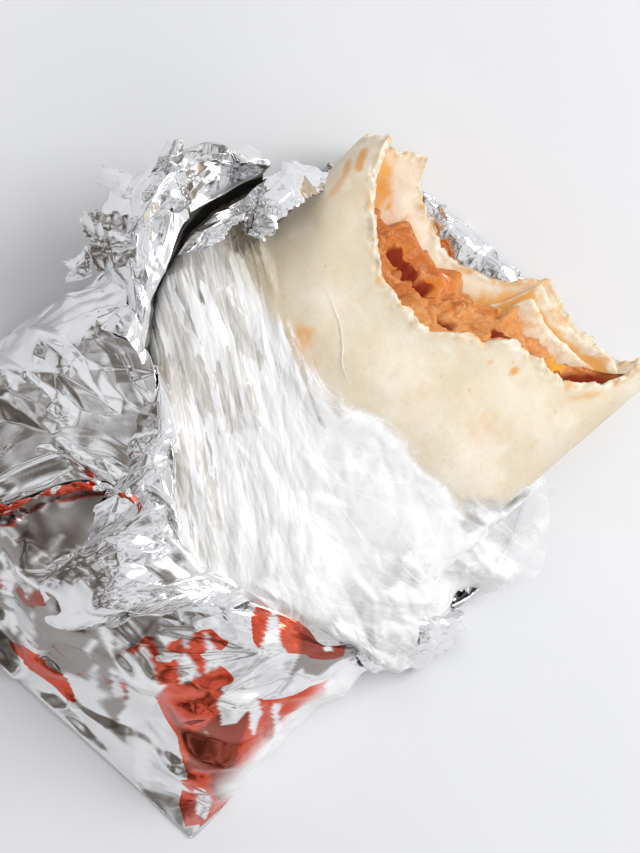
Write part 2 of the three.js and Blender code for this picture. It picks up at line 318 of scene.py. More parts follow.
def tatteredReach(angle, seed=3):     # the torn edge along one line of the skin
    p = skin(0.0, angle, 0.0)
    y, z = p[..., 1], p[..., 2]
    dip = tortilla["dip"] * np.exp(-((y - tortilla["dipY"]) / tortilla["dipWide"]) ** 2)
    reach = biteReach(y, z) - dip * ease(widestZ, widestZ + 6, z)
    reach = reach + tortilla["scallop"] * softNoise(y, z, 0.0, tortilla["scallopSize"], seed)
    # some stretches of the edge are clean, others ragged
    ragged = 0.25 + 0.75 * ease(-0.1, 0.5, softNoise(y, z, 9.0, 8.0, seed + 9))
    return reach + ragged * tortilla["tatter"] * roughNoise(y, z, 5.0, tortilla["tatterSize"], seed + 5, 3)


def settled(points):     # what every layer shares: soft dents, the bite's pinch, the flared fold
    x, y, z = points[..., 0], points[..., 1], points[..., 2]
    size = tortilla["dentSize"]
    shown = ease(-20, 20, x)
    dent = tortilla["dent"] * (softNoise(x, y, 20.0, size, 11) + 0.35 * softNoise(x, y, 20.0, size / 2.6, 12))
    near = ease(tortilla["pinchLength"], 0, biteReach(y, z) - x)
    up = ease(widestZ, crownZ, z)
    out = points.copy()
    out[..., 2] = z + dent * ease(8, 26, z) * (0.3 + 0.7 * shown) - tortilla["pinch"] * near * up
    out[..., 1] = y + tortilla["flare"] * ease(28, 56, x) * ease(18, 44, y)
    return out


# marks on the outside: x, y, half length, half width, turn, strength
stains = [
    (51, 43.5, 3.2, 1.1, 0.5, 0.9), (48, 45, 2.4, 0.8, 0.6, 0.8), (43, 42.5, 4.5, 1.0, 0.2, 0.45),
    (45.3, -21, 1.5, 1.0, 0.0, 0.9), (41.9, -15.3, 0.7, 0.5, 0.0, 0.6), (46.5, -19, 0.5, 0.4, 0.0, 0.6),
    (55.5, -37.5, 4.5, 1.1, -0.5, 0.6), (11, 19.5, 3.6, 3.0, 0.8, 0.75), (8, 13, 2.5, 1.6, 0.5, 0.3),
    (36, 18, 3.0, 2.0, 1.0, 0.25), (30, -26, 5.0, 4.0, 0.0, 0.14), (21, -12, 6.0, 4.0, 0.6, 0.10),
]
# the same on the inside of the +Y fold
innerStains = [
    (53, 38, 7.5, 3.0, 0.86, 1.0), (50, 35, 3.0, 2.2, 0.8, 0.8), (47.5, 33.5, 1.3, 0.9, 0.2, 1.0),
    (50.6, 31.4, 1.1, 0.8, 0.5, 1.0), (51.7, 26.3, 0.8, 0.6, 0.0, 0.8),
    (63, -5.5, 3.7, 0.9, -0.92, 0.9), (63, -25.9, 2.8, 0.9, -0.9, 0.9),
    (62, -34, 6.0, 4.0, -1.2, 1.0),
]
pocketShadeSpots = [(59.5, -33.5, 6.0, 3.6, -0.71, 1.0)]     # painted shade: the tip's pocket is darkened
foldStains = [(57, -14.5, 2.8, 0.8, -0.9, 0.9), (55, -20, 3.0, 1.2, -0.9, 0.5)]


def stainAt(x, y, z, marked):
    total = np.zeros(x.shape)
    ragged = 0.35 * roughNoise(x, y, z, 2.6, 61, 3)
    for middleX, middleY, long, wide, turn, strength in marked:
        along = ((x - middleX) * math.cos(turn) + (y - middleY) * math.sin(turn)) / long
        across = ((y - middleY) * math.cos(turn) - (x - middleX) * math.sin(turn)) / wide
        total = np.maximum(total, strength * ease(1.3, 0.5, np.hypot(along, across) + ragged))
    return total


def makeTortilla():
    angle = np.linspace(0, 2 * np.pi, tortilla["around"], endpoint=False)
    reach = tatteredReach(angle)
    wall = tortilla["wall"]
    hidden = int((tortilla["shownFrom"] - shoulderX) / tortilla["hiddenStep"])
    shown = int((62 - tortilla["shownFrom"]) / tortilla["shownStep"])
    hiddenX = np.linspace(shoulderX, tortilla["shownFrom"], hidden + 1)[1:]
    shares = np.linspace(0, 1, shown + 1)[1:]
    outer = [skin(x, angle, 0.0, size) for x, size in rearCap(0.0, 6)]
    outer += [skin(x, angle, 0.0) for x in hiddenX]
    outer += [skin(blend(tortilla["shownFrom"], reach, s), angle, 0.0) for s in shares]
    outer = [settled(row) for row in outer]
    # the torn rim: a ragged rounded edge, then the inner face
    rim, inner = [], []
    run = angle * 40     # about mm round the rim
    thin = 0.62 + 0.38 * softNoise(run, 6.0, 0.0, 5.0, 35)
    for turn in np.linspace(0, np.pi, 9)[1:-1]:
        ragged = 0.35 * softNoise(run, turn * 2, 0.0, 0.8, 31)
        ragged = ragged + 0.25 * softNoise(run, turn * 3, 4.0, 0.3, 32)
        x = reach + (0.8 + ragged) * math.sin(turn)
        rim.append(settled(skin(x, angle, -wall * thin * (1 - math.cos(turn)) / 2)))
    for s in 1 - np.linspace(0, 1, 40) ** 1.4:
        x = blend(-30, reach, s)
        near = ease(7, 0, reach - x)
        inner.append(settled(skin(x, angle, -wall * (1 - near * (1 - thin)))))
    inner += [skin(x, angle, -wall, size) for x, size in rearCap(-wall, 4)][::-1]
    rows = np.stack(outer + rim + inner)
    # flakes and crumb round the rim
    lip = len(outer)
    fromEdge = np.abs(np.arange(len(rows)) - lip - 3)[:, None]
    crumb = 0.75 * roughNoise(*np.moveaxis(rows, -1, 0), 1.3, 33, 2) * ease(8, 3, fromEdge)
    rows = rows + crumb[..., None] * np.array([0.6, 0.3, 1.0])
    points, faces = closedTube(rows, (roll["rearX"], 0, widestZ), (roll["rearX"] + wall, 0, widestZ))
    rowNumber = np.arange(len(rows))[:, None] * np.ones(tortilla["around"])
    torn = ease(lip - 6, lip + 1, rowNumber) * (1 - ease(lip + 6, lip + 12, rowNumber))
    # how far in from the torn edge, less where the +Y fold stays clean
    behind = np.clip(reach[None, :] - rows[..., 0], 0, 60) * (1 - 0.7 * ease(20, 28, rows[..., 1]))
    inside = (rowNumber > lip + 5).astype(float)
    places = np.moveaxis(rows, -1, 0)
    upper = ease(widestZ, widestZ + 3, rows[..., 2])
    stain = np.where(inside > 0, stainAt(*places, innerStains), stainAt(*places, stains) * upper)
    marks = {
        "torn": withPoles(torn), "inside": withPoles(inside, 0, 1), "behind": withPoles(behind / 10, 6, 6),
        "stain": withPoles(stain), "void": withPoles(inside * stainAt(*places, pocketShadeSpots)),
    }
    return meshPiece("tortillaWrap", points, faces, [tortillaLook()], marks)


def tortillaLook():
    look = Look("tortillaCrumb")
    torn, inside, behind = look.mark("torn"), look.mark("inside"), look.mark("behind")
    cloud = look.noise(46, 5, 0.62)
    fine = look.noise(420, 3, 0.6)
    colour = look.mix(look.mask(cloud, 0.35, 0.7), rgb(0.755, 0.645, 0.475), rgb(0.87, 0.795, 0.67))
    mottle = look.mask(look.noise(360, 5, 0.72), 0.50, 0.64)
    mottle = mottle * look.mask(look.noise(38, 3, 0.55), 0.42, 0.62)
    colour = look.mix(mottle * 0.38, colour, rgb(0.80, 0.58, 0.33))
    pore = look.mask(look.noise(210, 4, 0.65), 0.52, 0.70)
    colour = look.mix(pore * 0.30, colour, rgb(0.74, 0.58, 0.38))
    bubble = look.mask(look.noise(75, 3, 0.55, bend=0.5), 0.58, 0.72)
    colour = look.mix(bubble * 0.35, colour, rgb(0.93, 0.87, 0.76))
    speck = look.mask(look.noise(330, 2, 0.5), 0.70, 0.78)
    colour = look.mix(speck * 0.5, colour, rgb(0.66, 0.36, 0.14))
    toast = look.mask(look.noise(34, 5, 0.62, bend=0.6), 0.62, 0.78)
    colour = look.mix(toast * 0.30, colour, rgb(0.80, 0.50, 0.22))
    colour = look.mix(look.mark("stain") * (0.6 + fine * 0.7), colour, rgb(0.76, 0.36, 0.07))
    edge = look.mix(look.mask(fine, 0.4, 0.62), rgb(0.76, 0.62, 0.42), rgb(0.90, 0.84, 0.72))
    colour = look.mix(torn * 0.8, colour, edge)
    smear = look.noise(110, 4, 0.6, bend=1.0)
    soak = inside * look.mask(behind + (smear - 0.5) * 1.3 + (cloud - 0.5) * 1.2, 0.2, 1.0)
    colour = look.mix(soak * 0.9, colour, rgb(0.80, 0.38, 0.07))
    # paste smeared along the torn edge
    smeared = torn * look.mask(smear, 0.50, 0.62)
    colour = look.mix(smeared * 0.65, colour, rgb(0.78, 0.40, 0.12))
    # painted shade: the tip's pocket is darkened to a deep red
    colour = look.mix(look.mark("void") * 0.95, colour, rgb(0.16, 0.018, 0.003))
    grain = look.noise(900, 4, 0.6)
    blister = look.noise(170, 2, 0.5)
    bump = look.bump(grain * 0.4 + blister, 0.30, 0.7)
    bump = look.bump(look.noise(60, 3, 0.5), 1.0, 0.45, bump)
    return look.finish({
        "Base Color": colour, "Roughness": 0.62, "Normal": bump,
        "Subsurface Weight": 0.25, "Subsurface Radius": (1.0, 0.6, 0.35), "Subsurface Scale": 0.003,
        "Specular IOR Level": 0.35,
    })


# the overlapped layers low on the -Y side, each set back from the one under it
folds = [
    dict(inset=2.6, thick=2.5, back=1.6, fromY=-41.5, toY=-5.0, seed=41),
    dict(inset=5.2, thick=3.0, back=4.6, fromY=-40.0, toY=-7.0, seed=47),
]


def makeFold(number, fold):
    rowsAcross, rowsAlong, rowsRound = 150, 60, 9
    y = np.linspace(fold["fromY"], fold["toY"], rowsAcross)
    # the angle on the underside whose y this is
    halfWidth = roll["halfWidth"] - fold["inset"]
    angle = 2 * np.pi - np.arccos(np.clip(signedPower(y / halfWidth, roll["undersidePower"] / 2), -1, 1))
    p = skin(0.0, angle, -fold["inset"])
    reach = biteReach(p[:, 1], p[:, 2]) - fold["back"]
    reach = reach + 1.3 * softNoise(y, 0.0, 0.0, 9.0, fold["seed"])
    reach = reach + 0.35 * roughNoise(y, 3.0, 0.0, 2.2, fold["seed"] + 1, 2)
    reach = reach - 5.0 * ease(5, 0, fold["toY"] - y) - 3.0 * ease(5, 0, y - fold["fromY"])
    ends = np.minimum(ease(0, 7, y - fold["fromY"]), ease(0, 6, fold["toY"] - y))
    thick = fold["thick"] * (0.25 + 0.75 * ends)
    lift = 1.1 * softNoise(y, 0.0, 9.0, 9.0, fold["seed"] + 2) * ends
    under = [skin(blend(-10, reach, s), angle, -fold["inset"]) for s in np.linspace(0, 1, rowsAlong)]
    edge = []
    for turn in np.linspace(0, np.pi, rowsRound + 2)[1:-1]:
        x = reach + thick / 2 * math.sin(turn)
        edge.append(skin(x, angle, -fold["inset"] - thick * (1 - math.cos(turn)) / 2))
    over = [skin(blend(-10, reach, s), angle, -fold["inset"] - thick) for s in np.linspace(1, 0, rowsAlong)]
    rows = np.stack(under + edge + over)
    near = ease(14, 2, reach[None, :] - rows[..., 0])
    rows[..., 2] += lift[None, :] * near
    rows = settled(rows)
    # close the two long sides and the hidden end by joining the two faces
    count = len(rows)
    faces = [*gridFaces(count, rowsAcross)]
    point = np.arange(count * rowsAcross).reshape(count, rowsAcross)
    for column, turned in ((0, False), (rowsAcross - 1, True)):
        for k in range(rowsAlong + rowsRound // 2):
            a, b = point[k, column], point[k + 1, column]
            c, d = point[count - 2 - k, column], point[count - 1 - k, column]
            corners = [a, b, c, d] if turned else [a, d, c, b]
            faces.append(list(dict.fromkeys(corners)))     # only three of them at the middle of the rim
    for k in range(rowsAcross - 1):
        faces.append([point[-1, k], point[-1, k + 1], point[0, k + 1], point[0, k]])
    row = np.arange(count)[:, None] * np.ones(rowsAcross)
    overFrom = rowsAlong + rowsRound
    torn = ease(rowsAlong - 4, rowsAlong, row) * (1 - ease(overFrom, overFrom + 5, row))
    behind = np.clip(reach[None, :] - rows[..., 0], 0, 60)
    marks = {
        "torn": torn.ravel(), "inside": np.ones(torn.size), "behind": behind.ravel() / fold["back"] / 1.6,
        "stain": stainAt(*np.moveaxis(rows, -1, 0), foldStains).ravel(),
    }
    crumb = bpy.data.materials["tortillaCrumb"]
    return meshPiece("tortillaFold%d" % number, rows.reshape(-1, 3), faces, [crumb], marks)


tortillaWrap = makeTortilla()
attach(tortillaWrap, "root")
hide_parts("tortilla")
for number, fold in enumerate(folds):
    layer = makeFold(number, fold)
    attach(layer, "root")
print("tortilla and its folds made")


# filling

filling = dict(
    gap=0.15, rings=120, around=460,
    lumpSize=7.0, lump=3.4, crumbSize=3.2, crumb=2.2, grainSize=1.5, grain=0.95, ripple=0.12,
    # how far the paste stays behind the bottom lip, from -Y to +Y
    lip=[(-40, 2), (-32, 4), (-28, 10), (-20, 9), (-16, 12), (-10, 9.5), (-5, 6), (1, 3), (24, 3)],
)
# hollows in the bitten face: y, z, half width, half height, depth
hollows = [
    (20.5, 25, 2.6, 2.6, 6.0), (17.5, 24, 2.8, 2.4, 7.5), (14, 24, 2.6, 2.4, 6.5), (9.3, 23, 2.9, 2.9, 8.0),
    (-1, 33, 3.0, 2.4, 2.5), (-12, 30, 3.0, 2.4, 2.0), (-33, 26, 7.0, 7.0, 7.0), (-38, 20, 6.0, 6.0, 6.0),
]
# smooth lobes that stand out: y, z, half width, half height, height
lobes = [(19, 15, 4.0, 3.4, 3.0), (14, 14, 4.5, 3.6, 3.6), (9, 13.5, 4.0, 3.4, 3.0)]
# melted cheese: y, z, half width, half height, height
cheeses = [(-27.5, 21, 3.0, 4.5, 2.2), (-24, 16, 2.5, 3.0, 1.4), (-8, 12, 3.5, 3.0, 1.2)]
beanSkin = dict(count=4, at=1.35, wide=0.28, high=1.7)     # the raised skins round the first hollows


def fillingReach(y, z):
    places, lips = zip(*filling["lip"])
    eaten = 13 * ease(23, 34, y + 2.0 * softNoise(y, z, 2.0, 3.5, 49))     # behind the +Y fold
    return biteReach(y, z) - blend(np.interp(y, places, lips), 1.2, levelShare(z)) - eaten


def swayed(y, z, much, size, seed):     # the place moved a little, so that no patch is an even oval
    return y + much * softNoise(y, z, 0.0, size, seed), z + much * softNoise(y, z, 8.0, size, seed)


def spread(y, z, patches, sharp):     # 1 in the middle of each patch, 0 away from them
    y, z = swayed(y, z, 0.8, 2.2, 62)
    parts = []
    for middleY, middleZ, wide, high, _ in patches:
        parts.append(np.exp(-(((y - middleY) / wide) ** 2 + ((z - middleZ) / high) ** 2) ** sharp))
    return np.stack(parts)


def skinRing(y, z):     # 1 along the skin that rings the open beans
    y, z = swayed(y, z, 0.7, 2.6, 58)
    opened = hollows[:beanSkin["count"]]
    far = [np.hypot((y - middleY) / wide, (z - middleZ) / high) for middleY, middleZ, wide, high, _ in opened]
    broken = ease(-0.45, 0.0, softNoise(y, z, 4.0, 4.0, 60))
    return broken * np.exp(-((np.min(far, axis=0) - beanSkin["at"]) / beanSkin["wide"]) ** 2)


def fillingFace(y, z, inward):     # x of the lumpy bitten face
    ring = skinRing(y, z)
    smooth = 1 - 0.85 * np.clip(spread(y, z, lobes, 1.5).sum(axis=0) + ring, 0, 1)
    x = fillingReach(y, z)
    lumps = filling["lump"] * np.abs(softNoise(y, z, 3.0, filling["lumpSize"], 51))
    lumps = lumps + filling["crumb"] * np.abs(softNoise(y, z, 7.0, filling["crumbSize"], 53))
    lumps = lumps + filling["grain"] * np.abs(softNoise(y, z, 9.0, filling["grainSize"], 55)) - 1.3
    x = x + inward * smooth * lumps + filling["ripple"] * smooth * softNoise(y, z, 1.0, 0.6, 57)
    for patches, sharp, way in ((hollows, 1.2, -1), (lobes, 1.6, 1), (cheeses, 1.3, 1)):
        heights = np.array([patch[4] for patch in patches]).reshape((-1,) + (1,) * np.ndim(y))
        x = x + way * (heights * spread(y, z, patches, sharp)).max(axis=0)
    return x + beanSkin["high"] * ring * ease(30, 26, z)


def makeFilling():
    angle = np.linspace(0, 2 * np.pi, filling["around"], endpoint=False)
    grow = -tortilla["wall"] - filling["gap"]
    rim = skin(0.0, angle, grow)
    # the low layers of tortilla on the -Y side take up room
    low = ease(widestZ + 4, widestZ - 6, rim[:, 2]) * ease(6, 0, rim[:, 1])
    rim[:, 2] += 5.2 * low
    rimX = fillingReach(rim[:, 1], rim[:, 2])
    body = []
    for x, shrink in rearCap(grow, 4):
        row = rim.copy()
        row[:, 0] = x
        row[:, 1] *= shrink
        row[:, 2] = widestZ + (row[:, 2] - widestZ) * shrink
        body.append(row)
    for share in np.linspace(0, 1, 26)[1:]:
        row = rim.copy()
        row[:, 0] = blend(shoulderX, rimX, share)
        body.append(row)
    face = []
    middleY, middleZ = -2.0, widestZ + 3
    for n in range(1, filling["rings"]):
        share = n / filling["rings"]
        y = blend(rim[:, 1], middleY, share)
        z = blend(rim[:, 2], middleZ, share)
        x = fillingFace(y, z, ease(0, 0.12, share))
        face.append(np.stack([x, y, z], axis=-1))
    rows = settled(np.stack(body + face))
    tip = settled(np.array([float(fillingFace(np.array(middleY), np.array(middleZ), 1.0)), middleY, middleZ]))
    points, faces = closedTube(rows, (roll["rearX"] - grow, 0, widestZ), tip)
    y, z = points[:, 1], points[:, 2]
    plain = fillingReach(y, z)
    # the colours follow the hollows, lobes and cheese before the face settles
    wander = 0.8 * softNoise(y, z, 6.0, 3.0, 59)
    lifted = z + tortilla["pinch"] * 0.6
    marks = {
        "proud": np.clip((points[:, 0] - plain) / 4, -1, 1), "dark": ease(2, 12, y),
        "ring": skinRing(y + 0.5 * wander, lifted + 0.5 * wander),
    }
    # the hollows' mark is painted shade; the lobes' and cheese marks are their own colour
    for label, patches, sharp in (("deep", hollows, 1.2), ("smooth", lobes, 1.5), ("cheese", cheeses, 1.2)):
        marks[label] = spread(y + wander, lifted + wander, patches, sharp).max(axis=0)
    return meshPiece("fillingPaste", points, faces, [fillingLook()], marks)


def fillingLook():
    look = Look("beanPaste")
    proud, dark, deep = look.mark("proud"), look.mark("dark"), look.mark("deep")
    broad = look.noise(95, 3, 0.55, bend=0.6)
    medium = look.noise(300, 4, 0.6, bend=0.4)
    colour = look.mix(look.mask(broad, 0.35, 0.65), rgb(0.46, 0.125, 0.018), rgb(0.62, 0.23, 0.05))
    colour = look.mix(look.mask(medium, 0.46, 0.62) * 0.75, colour, rgb(0.76, 0.40, 0.15))
    sauce = look.mask(look.noise(130, 3, 0.55, bend=0.8), 0.50, 0.62)
    colour = look.mix(sauce * 0.75, colour, rgb(0.70, 0.20, 0.008))
    bits = look.mask(look.noise(520, 2, 0.5), 0.58, 0.70)
    colour = look.mix(bits * 0.6, colour, rgb(0.40, 0.08, 0.012))
    pale = (1 - dark) * look.mask(broad, 0.4, 0.6)
    colour = look.mix(pale * 0.6, colour, rgb(0.72, 0.32, 0.10))
    colour = look.mix(dark * 0.35, colour, rgb(0.42, 0.09, 0.010))
    colour = look.mix(look.mark("smooth") * 0.85, colour, rgb(0.60, 0.16, 0.008))
    colour = look.mix(look.mark("ring") * 0.85, colour, rgb(0.66, 0.19, 0.006))
    colour = look.mix(look.mask(look.mark("cheese"), 0.25, 0.7), colour, rgb(0.80, 0.42, 0.035))
    # painted shade where the face lies back from its plain reach
    valleyShade = 1 - look.mask(proud, -0.75, -0.1)
    colour = look.mix(valleyShade * 0.6, colour, rgb(0.36, 0.075, 0.012))
    # painted shade in the hollows: they are darkened to a deep red
    colour = look.mix(look.mask(deep, 0.28, 0.75) * 0.95, colour, rgb(0.21, 0.012, 0.0005))
    rough = 0.45 + look.noise(300, 2, 0.5) * 0.25
    bump = look.bump(look.noise(800, 4, 0.65), 0.35, 0.8)
    bump = look.bump(medium, 0.8, 0.7, bump)
    moist = (0.25 + sauce * 0.45) * (1 - look.mask(deep, 0.1, 0.4))
    return look.finish({
        "Base Color": colour, "Roughness": rough, "Normal": bump, "Specular IOR Level": 0.12,
        "Coat Weight": moist, "Coat Roughness": 0.18,
        "Subsurface Weight": 0.08, "Subsurface Radius": (1.0, 0.35, 0.12), "Subsurface Scale": 0.001,
    })


fillingPaste = makeFilling()
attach(fillingPaste, "root")
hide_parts("filling")
print("filling made")


# foil

def facets(u, v, size, seed, stretch=1.0, turn=0.0):
    # creased paper: heights from -1 to 1 at scattered corners, flat between them
    a = (u * math.cos(turn) + v * math.sin(turn)) / (size * stretch)
    b = (v * math.cos(turn) - u * math.sin(turn)) / size
    cellA, cellB = np.floor(a).astype(np.int64), np.floor(b).astype(np.int64)
    height = np.zeros(a.shape)

    def corner(i, j):
        across = i + 0.5 + 0.4 * latticeRandom(i, j, 1, seed)
        down = j + 0.5 + 0.4 * latticeRandom(i, j, 2, seed)
        return across, down, latticeRandom(i, j, 3, seed)

    for di in (-1, 0):
        for dj in (-1, 0):
            i, j = cellA + di, cellB + dj
            p00, p10, p11, p01 = corner(i, j), corner(i + 1, j), corner(i + 1, j + 1), corner(i, j + 1)
            leaning = np.hypot(p00[0] - p11[0], p00[1] - p11[1]) > np.hypot(p10[0] - p01[0], p10[1] - p01[1])
            for first, second in (((p00, p10, p11), (p10, p11, p01)), ((p00, p11, p01), (p00, p10, p01))):
                one, two, three = [
                    [np.where(leaning, s, f) for f, s in zip(*pair)] for pair in zip(first, second)
                ]
                det = (two[1] - three[1]) * (one[0] - three[0]) + (three[0] - two[0]) * (one[1] - three[1])
                det = np.where(np.abs(det) < 1e-9, 1e-9, det)
                wOne = ((two[1] - three[1]) * (a - three[0]) + (three[0] - two[0]) * (b - three[1])) / det
                wTwo = ((three[1] - one[1]) * (a - three[0]) + (one[0] - three[0]) * (b - three[1])) / det
                wThree = 1 - wOne - wTwo
                inside = np.minimum(np.minimum(wOne, wTwo), wThree) >= -1e-9
                height = np.where(inside, wOne * one[2] + wTwo * two[2] + wThree * three[2], height)
    return height


def gridNormals(grid, wrap=False):
    if wrap:
        across = np.roll(grid, -1, axis=1) - np.roll(grid, 1, axis=1)
    else:
        across = np.gradient(grid, axis=1)
    normal = np.cross(across, np.gradient(grid, axis=0))
    return normal / np.maximum(np.linalg.norm(normal, axis=-1, keepdims=True), 1e-9)


def gridLengths(grid):     # distances in mm along the columns and down the rows
    across = np.linalg.norm(np.diff(grid, axis=1, prepend=grid[:, :1]), axis=-1)
    down = np.linalg.norm(np.diff(grid, axis=0, prepend=grid[:1]), axis=-1)
    return np.cumsum(across, axis=1).mean(axis=0)[None, :] + 0 * across, np.cumsum(down, axis=0)


def crumpled(grid, creases, seed, keep=1.0, wrap=False, lowest=None):
    # creases: (size, height, stretch, turn) of each set of folds
    u, v = gridLengths(grid)
    lift = np.zeros(u.shape)
    for n, (size, height, stretch, turn) in enumerate(creases):
        lift += height * facets(u, v, size, seed + 7 * n, stretch, turn)
    lift *= keep
    if lowest is not None:
        lift = np.maximum(lift, lowest)
    return grid + gridNormals(grid, wrap) * lift[..., None]


def bent(p0, p1, p2, p3, f):     # from p1 at 0 to p2 at 1, in line with the points before and after
    bend = 2 * p0 - 5 * p1 + 4 * p2 - p3
    return 0.5 * (2 * p1 + (p2 - p0) * f + bend * f ** 2 + (3 * p1 - p0 - 3 * p2 + p3) * f ** 3)


def splineThrough(points, at):     # smooth curve through rows of points, at from 0 to 1
    points = np.asarray(points, float)
    last = len(points) - 1
    s = np.clip(at, 0, 1) * last
    i = np.minimum(s.astype(int), last - 1)
    f = (s - i).reshape((-1,) + (1,) * (points.ndim - 1))
    return bent(*[points[np.clip(i + k, 0, last)] for k in (-1, 0, 1, 2)], f)


def foldedThrough(points, at):     # the same with a sharp fold at every point
    points = np.asarray(points, float)
    s = np.clip(at, 0, 1) * (len(points) - 1)
    i = np.minimum(s.astype(int), len(points) - 2)
    f = (s - i).reshape((-1,) + (1,) * (points.ndim - 1))
    return points[i] * (1 - f) + points[i + 1] * f


def netGrid(net, step, sharp=False):     # a fine grid through a coarse net of points
    net = np.asarray(net, float)
    high = np.linalg.norm(np.diff(net, axis=0), axis=-1).sum(axis=0).max()
    wide = np.linalg.norm(np.diff(net, axis=1), axis=-1).sum(axis=1).max()
    down, across = [np.linspace(0, 1, int(length / step) + 2) for length in (high, wide)]
    rows = foldedThrough(net, down) if sharp else splineThrough(net, down)
    return splineThrough(rows.swapaxes(0, 1), across).swapaxes(0, 1)


def netAcross(lines, step, sharp=False):     # the same from lines that run the other way
    return netGrid(np.asarray(lines, float).swapaxes(0, 1), step, sharp)


def tornEdge(grid, depth, size, seed):     # pull the last row of the sheet in along jagged tears
    at = np.linspace(0, 1, len(grid))[:, None, None]
    u, _ = gridLengths(grid)
    tear = facets(u[0], 0 * u[0], size, seed) + 0.5 * facets(u[0], 0 * u[0], size * 0.4, seed + 1)
    direction = grid[-1] - grid[-4]
    direction = direction / np.maximum(np.linalg.norm(direction, axis=-1, keepdims=True), 1e-6)
    return grid + direction[None] * (depth * (0.6 * tear - 0.5))[None, :, None] * at ** 4


def thinSheet(name, grid, thick, materials, marks, under=0):     # a closed sheet from a grid
    rows, columns = grid.shape[:2]
    half = gridNormals(grid) * thick / 2
    points = np.concatenate([(grid + half).reshape(-1, 3), (grid - half).reshape(-1, 3)])
    top = gridFaces(rows, columns)
    bottom = top[:, ::-1] + rows * columns
    edge = np.concatenate([
        np.arange(columns), np.arange(1, rows) * columns + columns - 1,
        (rows - 1) * columns + np.arange(columns - 2, -1, -1), np.arange(rows - 2, 0, -1) * columns,
    ])
    after = np.roll(edge, -1)
    side = np.stack([after, edge, edge + rows * columns, after + rows * columns], axis=-1)
    faces = np.concatenate([top, bottom, side])
    order = np.zeros(len(faces), int)
    order[len(top):len(top) * 2] = under     # the material of the lower face
    both = {label: np.tile(np.asarray(v, float).ravel(), 2) for label, v in marks.items()}
    return meshPiece(name, points, faces, materials, both, order)


pouch = dict(
    around=340, wall=0.5, spanRows=26, mouthRows=50,
    creases=[(20, 3.4, 1.5, 0.5), (10, 2.8, 1.8, 1.0), (5.0, 1.2, 1.8, 0.3), (2.5, 0.15, 1.2, 0.0)],
)
# round the pouch's mouth: from the rear crown down the -Y side, along the table and up the +Y side
mouthPoints = [
    (-47, -4, 45), (-34.5, -33, 39), (-27, -50, 22), (-9, -56, 9), (14, -57, 1.2),
    (40, -38, 1.2), (57, -6, 1.2), (55, 22, 1.2), (45, 47, 4), (32, 57, 13),
    (12, 60, 23), (-5, 57, 28), (-17, 46, 35), (-26, 28, 43), (-38, 12, 45.5),
]
# across the pouch, from its flat end forwards
pouchSections = [
    dict(right=(-95, -59), left=(-109, 59), height=1.4, rightPower=2.0, leftPower=2.0),
    dict(right=(-82, -58), left=(-97, 61), height=17, rightPower=2.0, leftPower=1.7),
    dict(right=(-66, -55), left=(-78, 64), height=43, rightPower=2.6, leftPower=1.8),
    dict(right=(-46, -53), left=(-50, 67), height=46, rightPower=3.0, leftPower=2.0),
]


def closedSpline(points, count):     # evenly spaced points round a smooth closed curve
    points = np.asarray(points, float)
    t = np.linspace(0, len(points), 40 * len(points) + 1)
    i = t.astype(int)
    fine = bent(*[points[(i + k) % len(points)] for k in (-1, 0, 1, 2)], (t - i)[:, None])
    run = np.append(0, np.cumsum(np.linalg.norm(np.diff(fine, axis=0), axis=1)))
    at = np.linspace(0, run[-1], count, endpoint=False)
    return np.stack([np.interp(at, run, fine[:, n]) for n in range(3)], axis=-1)


def pouchRow(section, turn):
    angle = np.pi / 2 - 2 * np.pi * turn
    across = signedPower(np.cos(angle), 0.8)
    share = (across + 1) / 2
    x = blend(section["left"][0], section["right"][0], share)
    y = blend(section["left"][1], section["right"][1], share)
    out = np.clip(np.abs(np.where(across > 0, y / section["right"][1], y / section["left"][1])), 0, 1)
    power = np.where(across > 0, section["rightPower"], section["leftPower"])
    dome = section["height"] * (1 - out ** power) ** (1 / power)
    z = np.where(np.sin(angle) > 0, np.maximum(dome, 1.0), 0.3)
    return np.stack([x, y, z], axis=-1)


def makePouchSurface():
    turn = np.arange(pouch["around"]) / pouch["around"]
    sections = [pouchRow(section, turn) for section in pouchSections]
    mouth = closedSpline(mouthPoints, pouch["around"])
    spans = len(sections)
    at = np.concatenate([
        np.linspace(0, spans - 1, (spans - 1) * pouch["spanRows"], endpoint=False),
        np.linspace(spans - 1, spans, pouch["mouthRows"]),
    ])
    return splineThrough(np.stack(sections + [mouth]), at / spans)


pouchSurface = makePouchSurface()


def onPouch(turn, along):     # points of the smooth pouch, along from 0 at the seam to 1 at the mouth
    rows, columns = pouchSurface.shape[:2]
    turn, along = np.broadcast_arrays(np.asarray(turn, float) % 1.0, along)
    c = turn * columns
    r = np.clip(along, 0, 1) * (rows - 1)
    c0 = np.floor(c).astype(int)
    r0 = np.minimum(np.floor(r).astype(int), rows - 2)
    fc, fr = (c - c0)[..., None], (r - r0)[..., None]
    c0, c1 = c0 % columns, (c0 + 1) % columns
    upper = pouchSurface[r0, c0] * (1 - fc) + pouchSurface[r0, c1] * fc
    lower = pouchSurface[r0 + 1, c0] * (1 - fc) + pouchSurface[r0 + 1, c1] * fc
    return upper * (1 - fr) + lower * fr


topOfPouch = pouchSurface[pouchSurface[..., 2] > 1.5]


def pouchHeight(x, y):     # how high the pouch stands at a place
    far = (topOfPouch[:, 0] - x) ** 2 + (topOfPouch[:, 1] - y) ** 2
    return topOfPouch[np.argmin(far), 2]


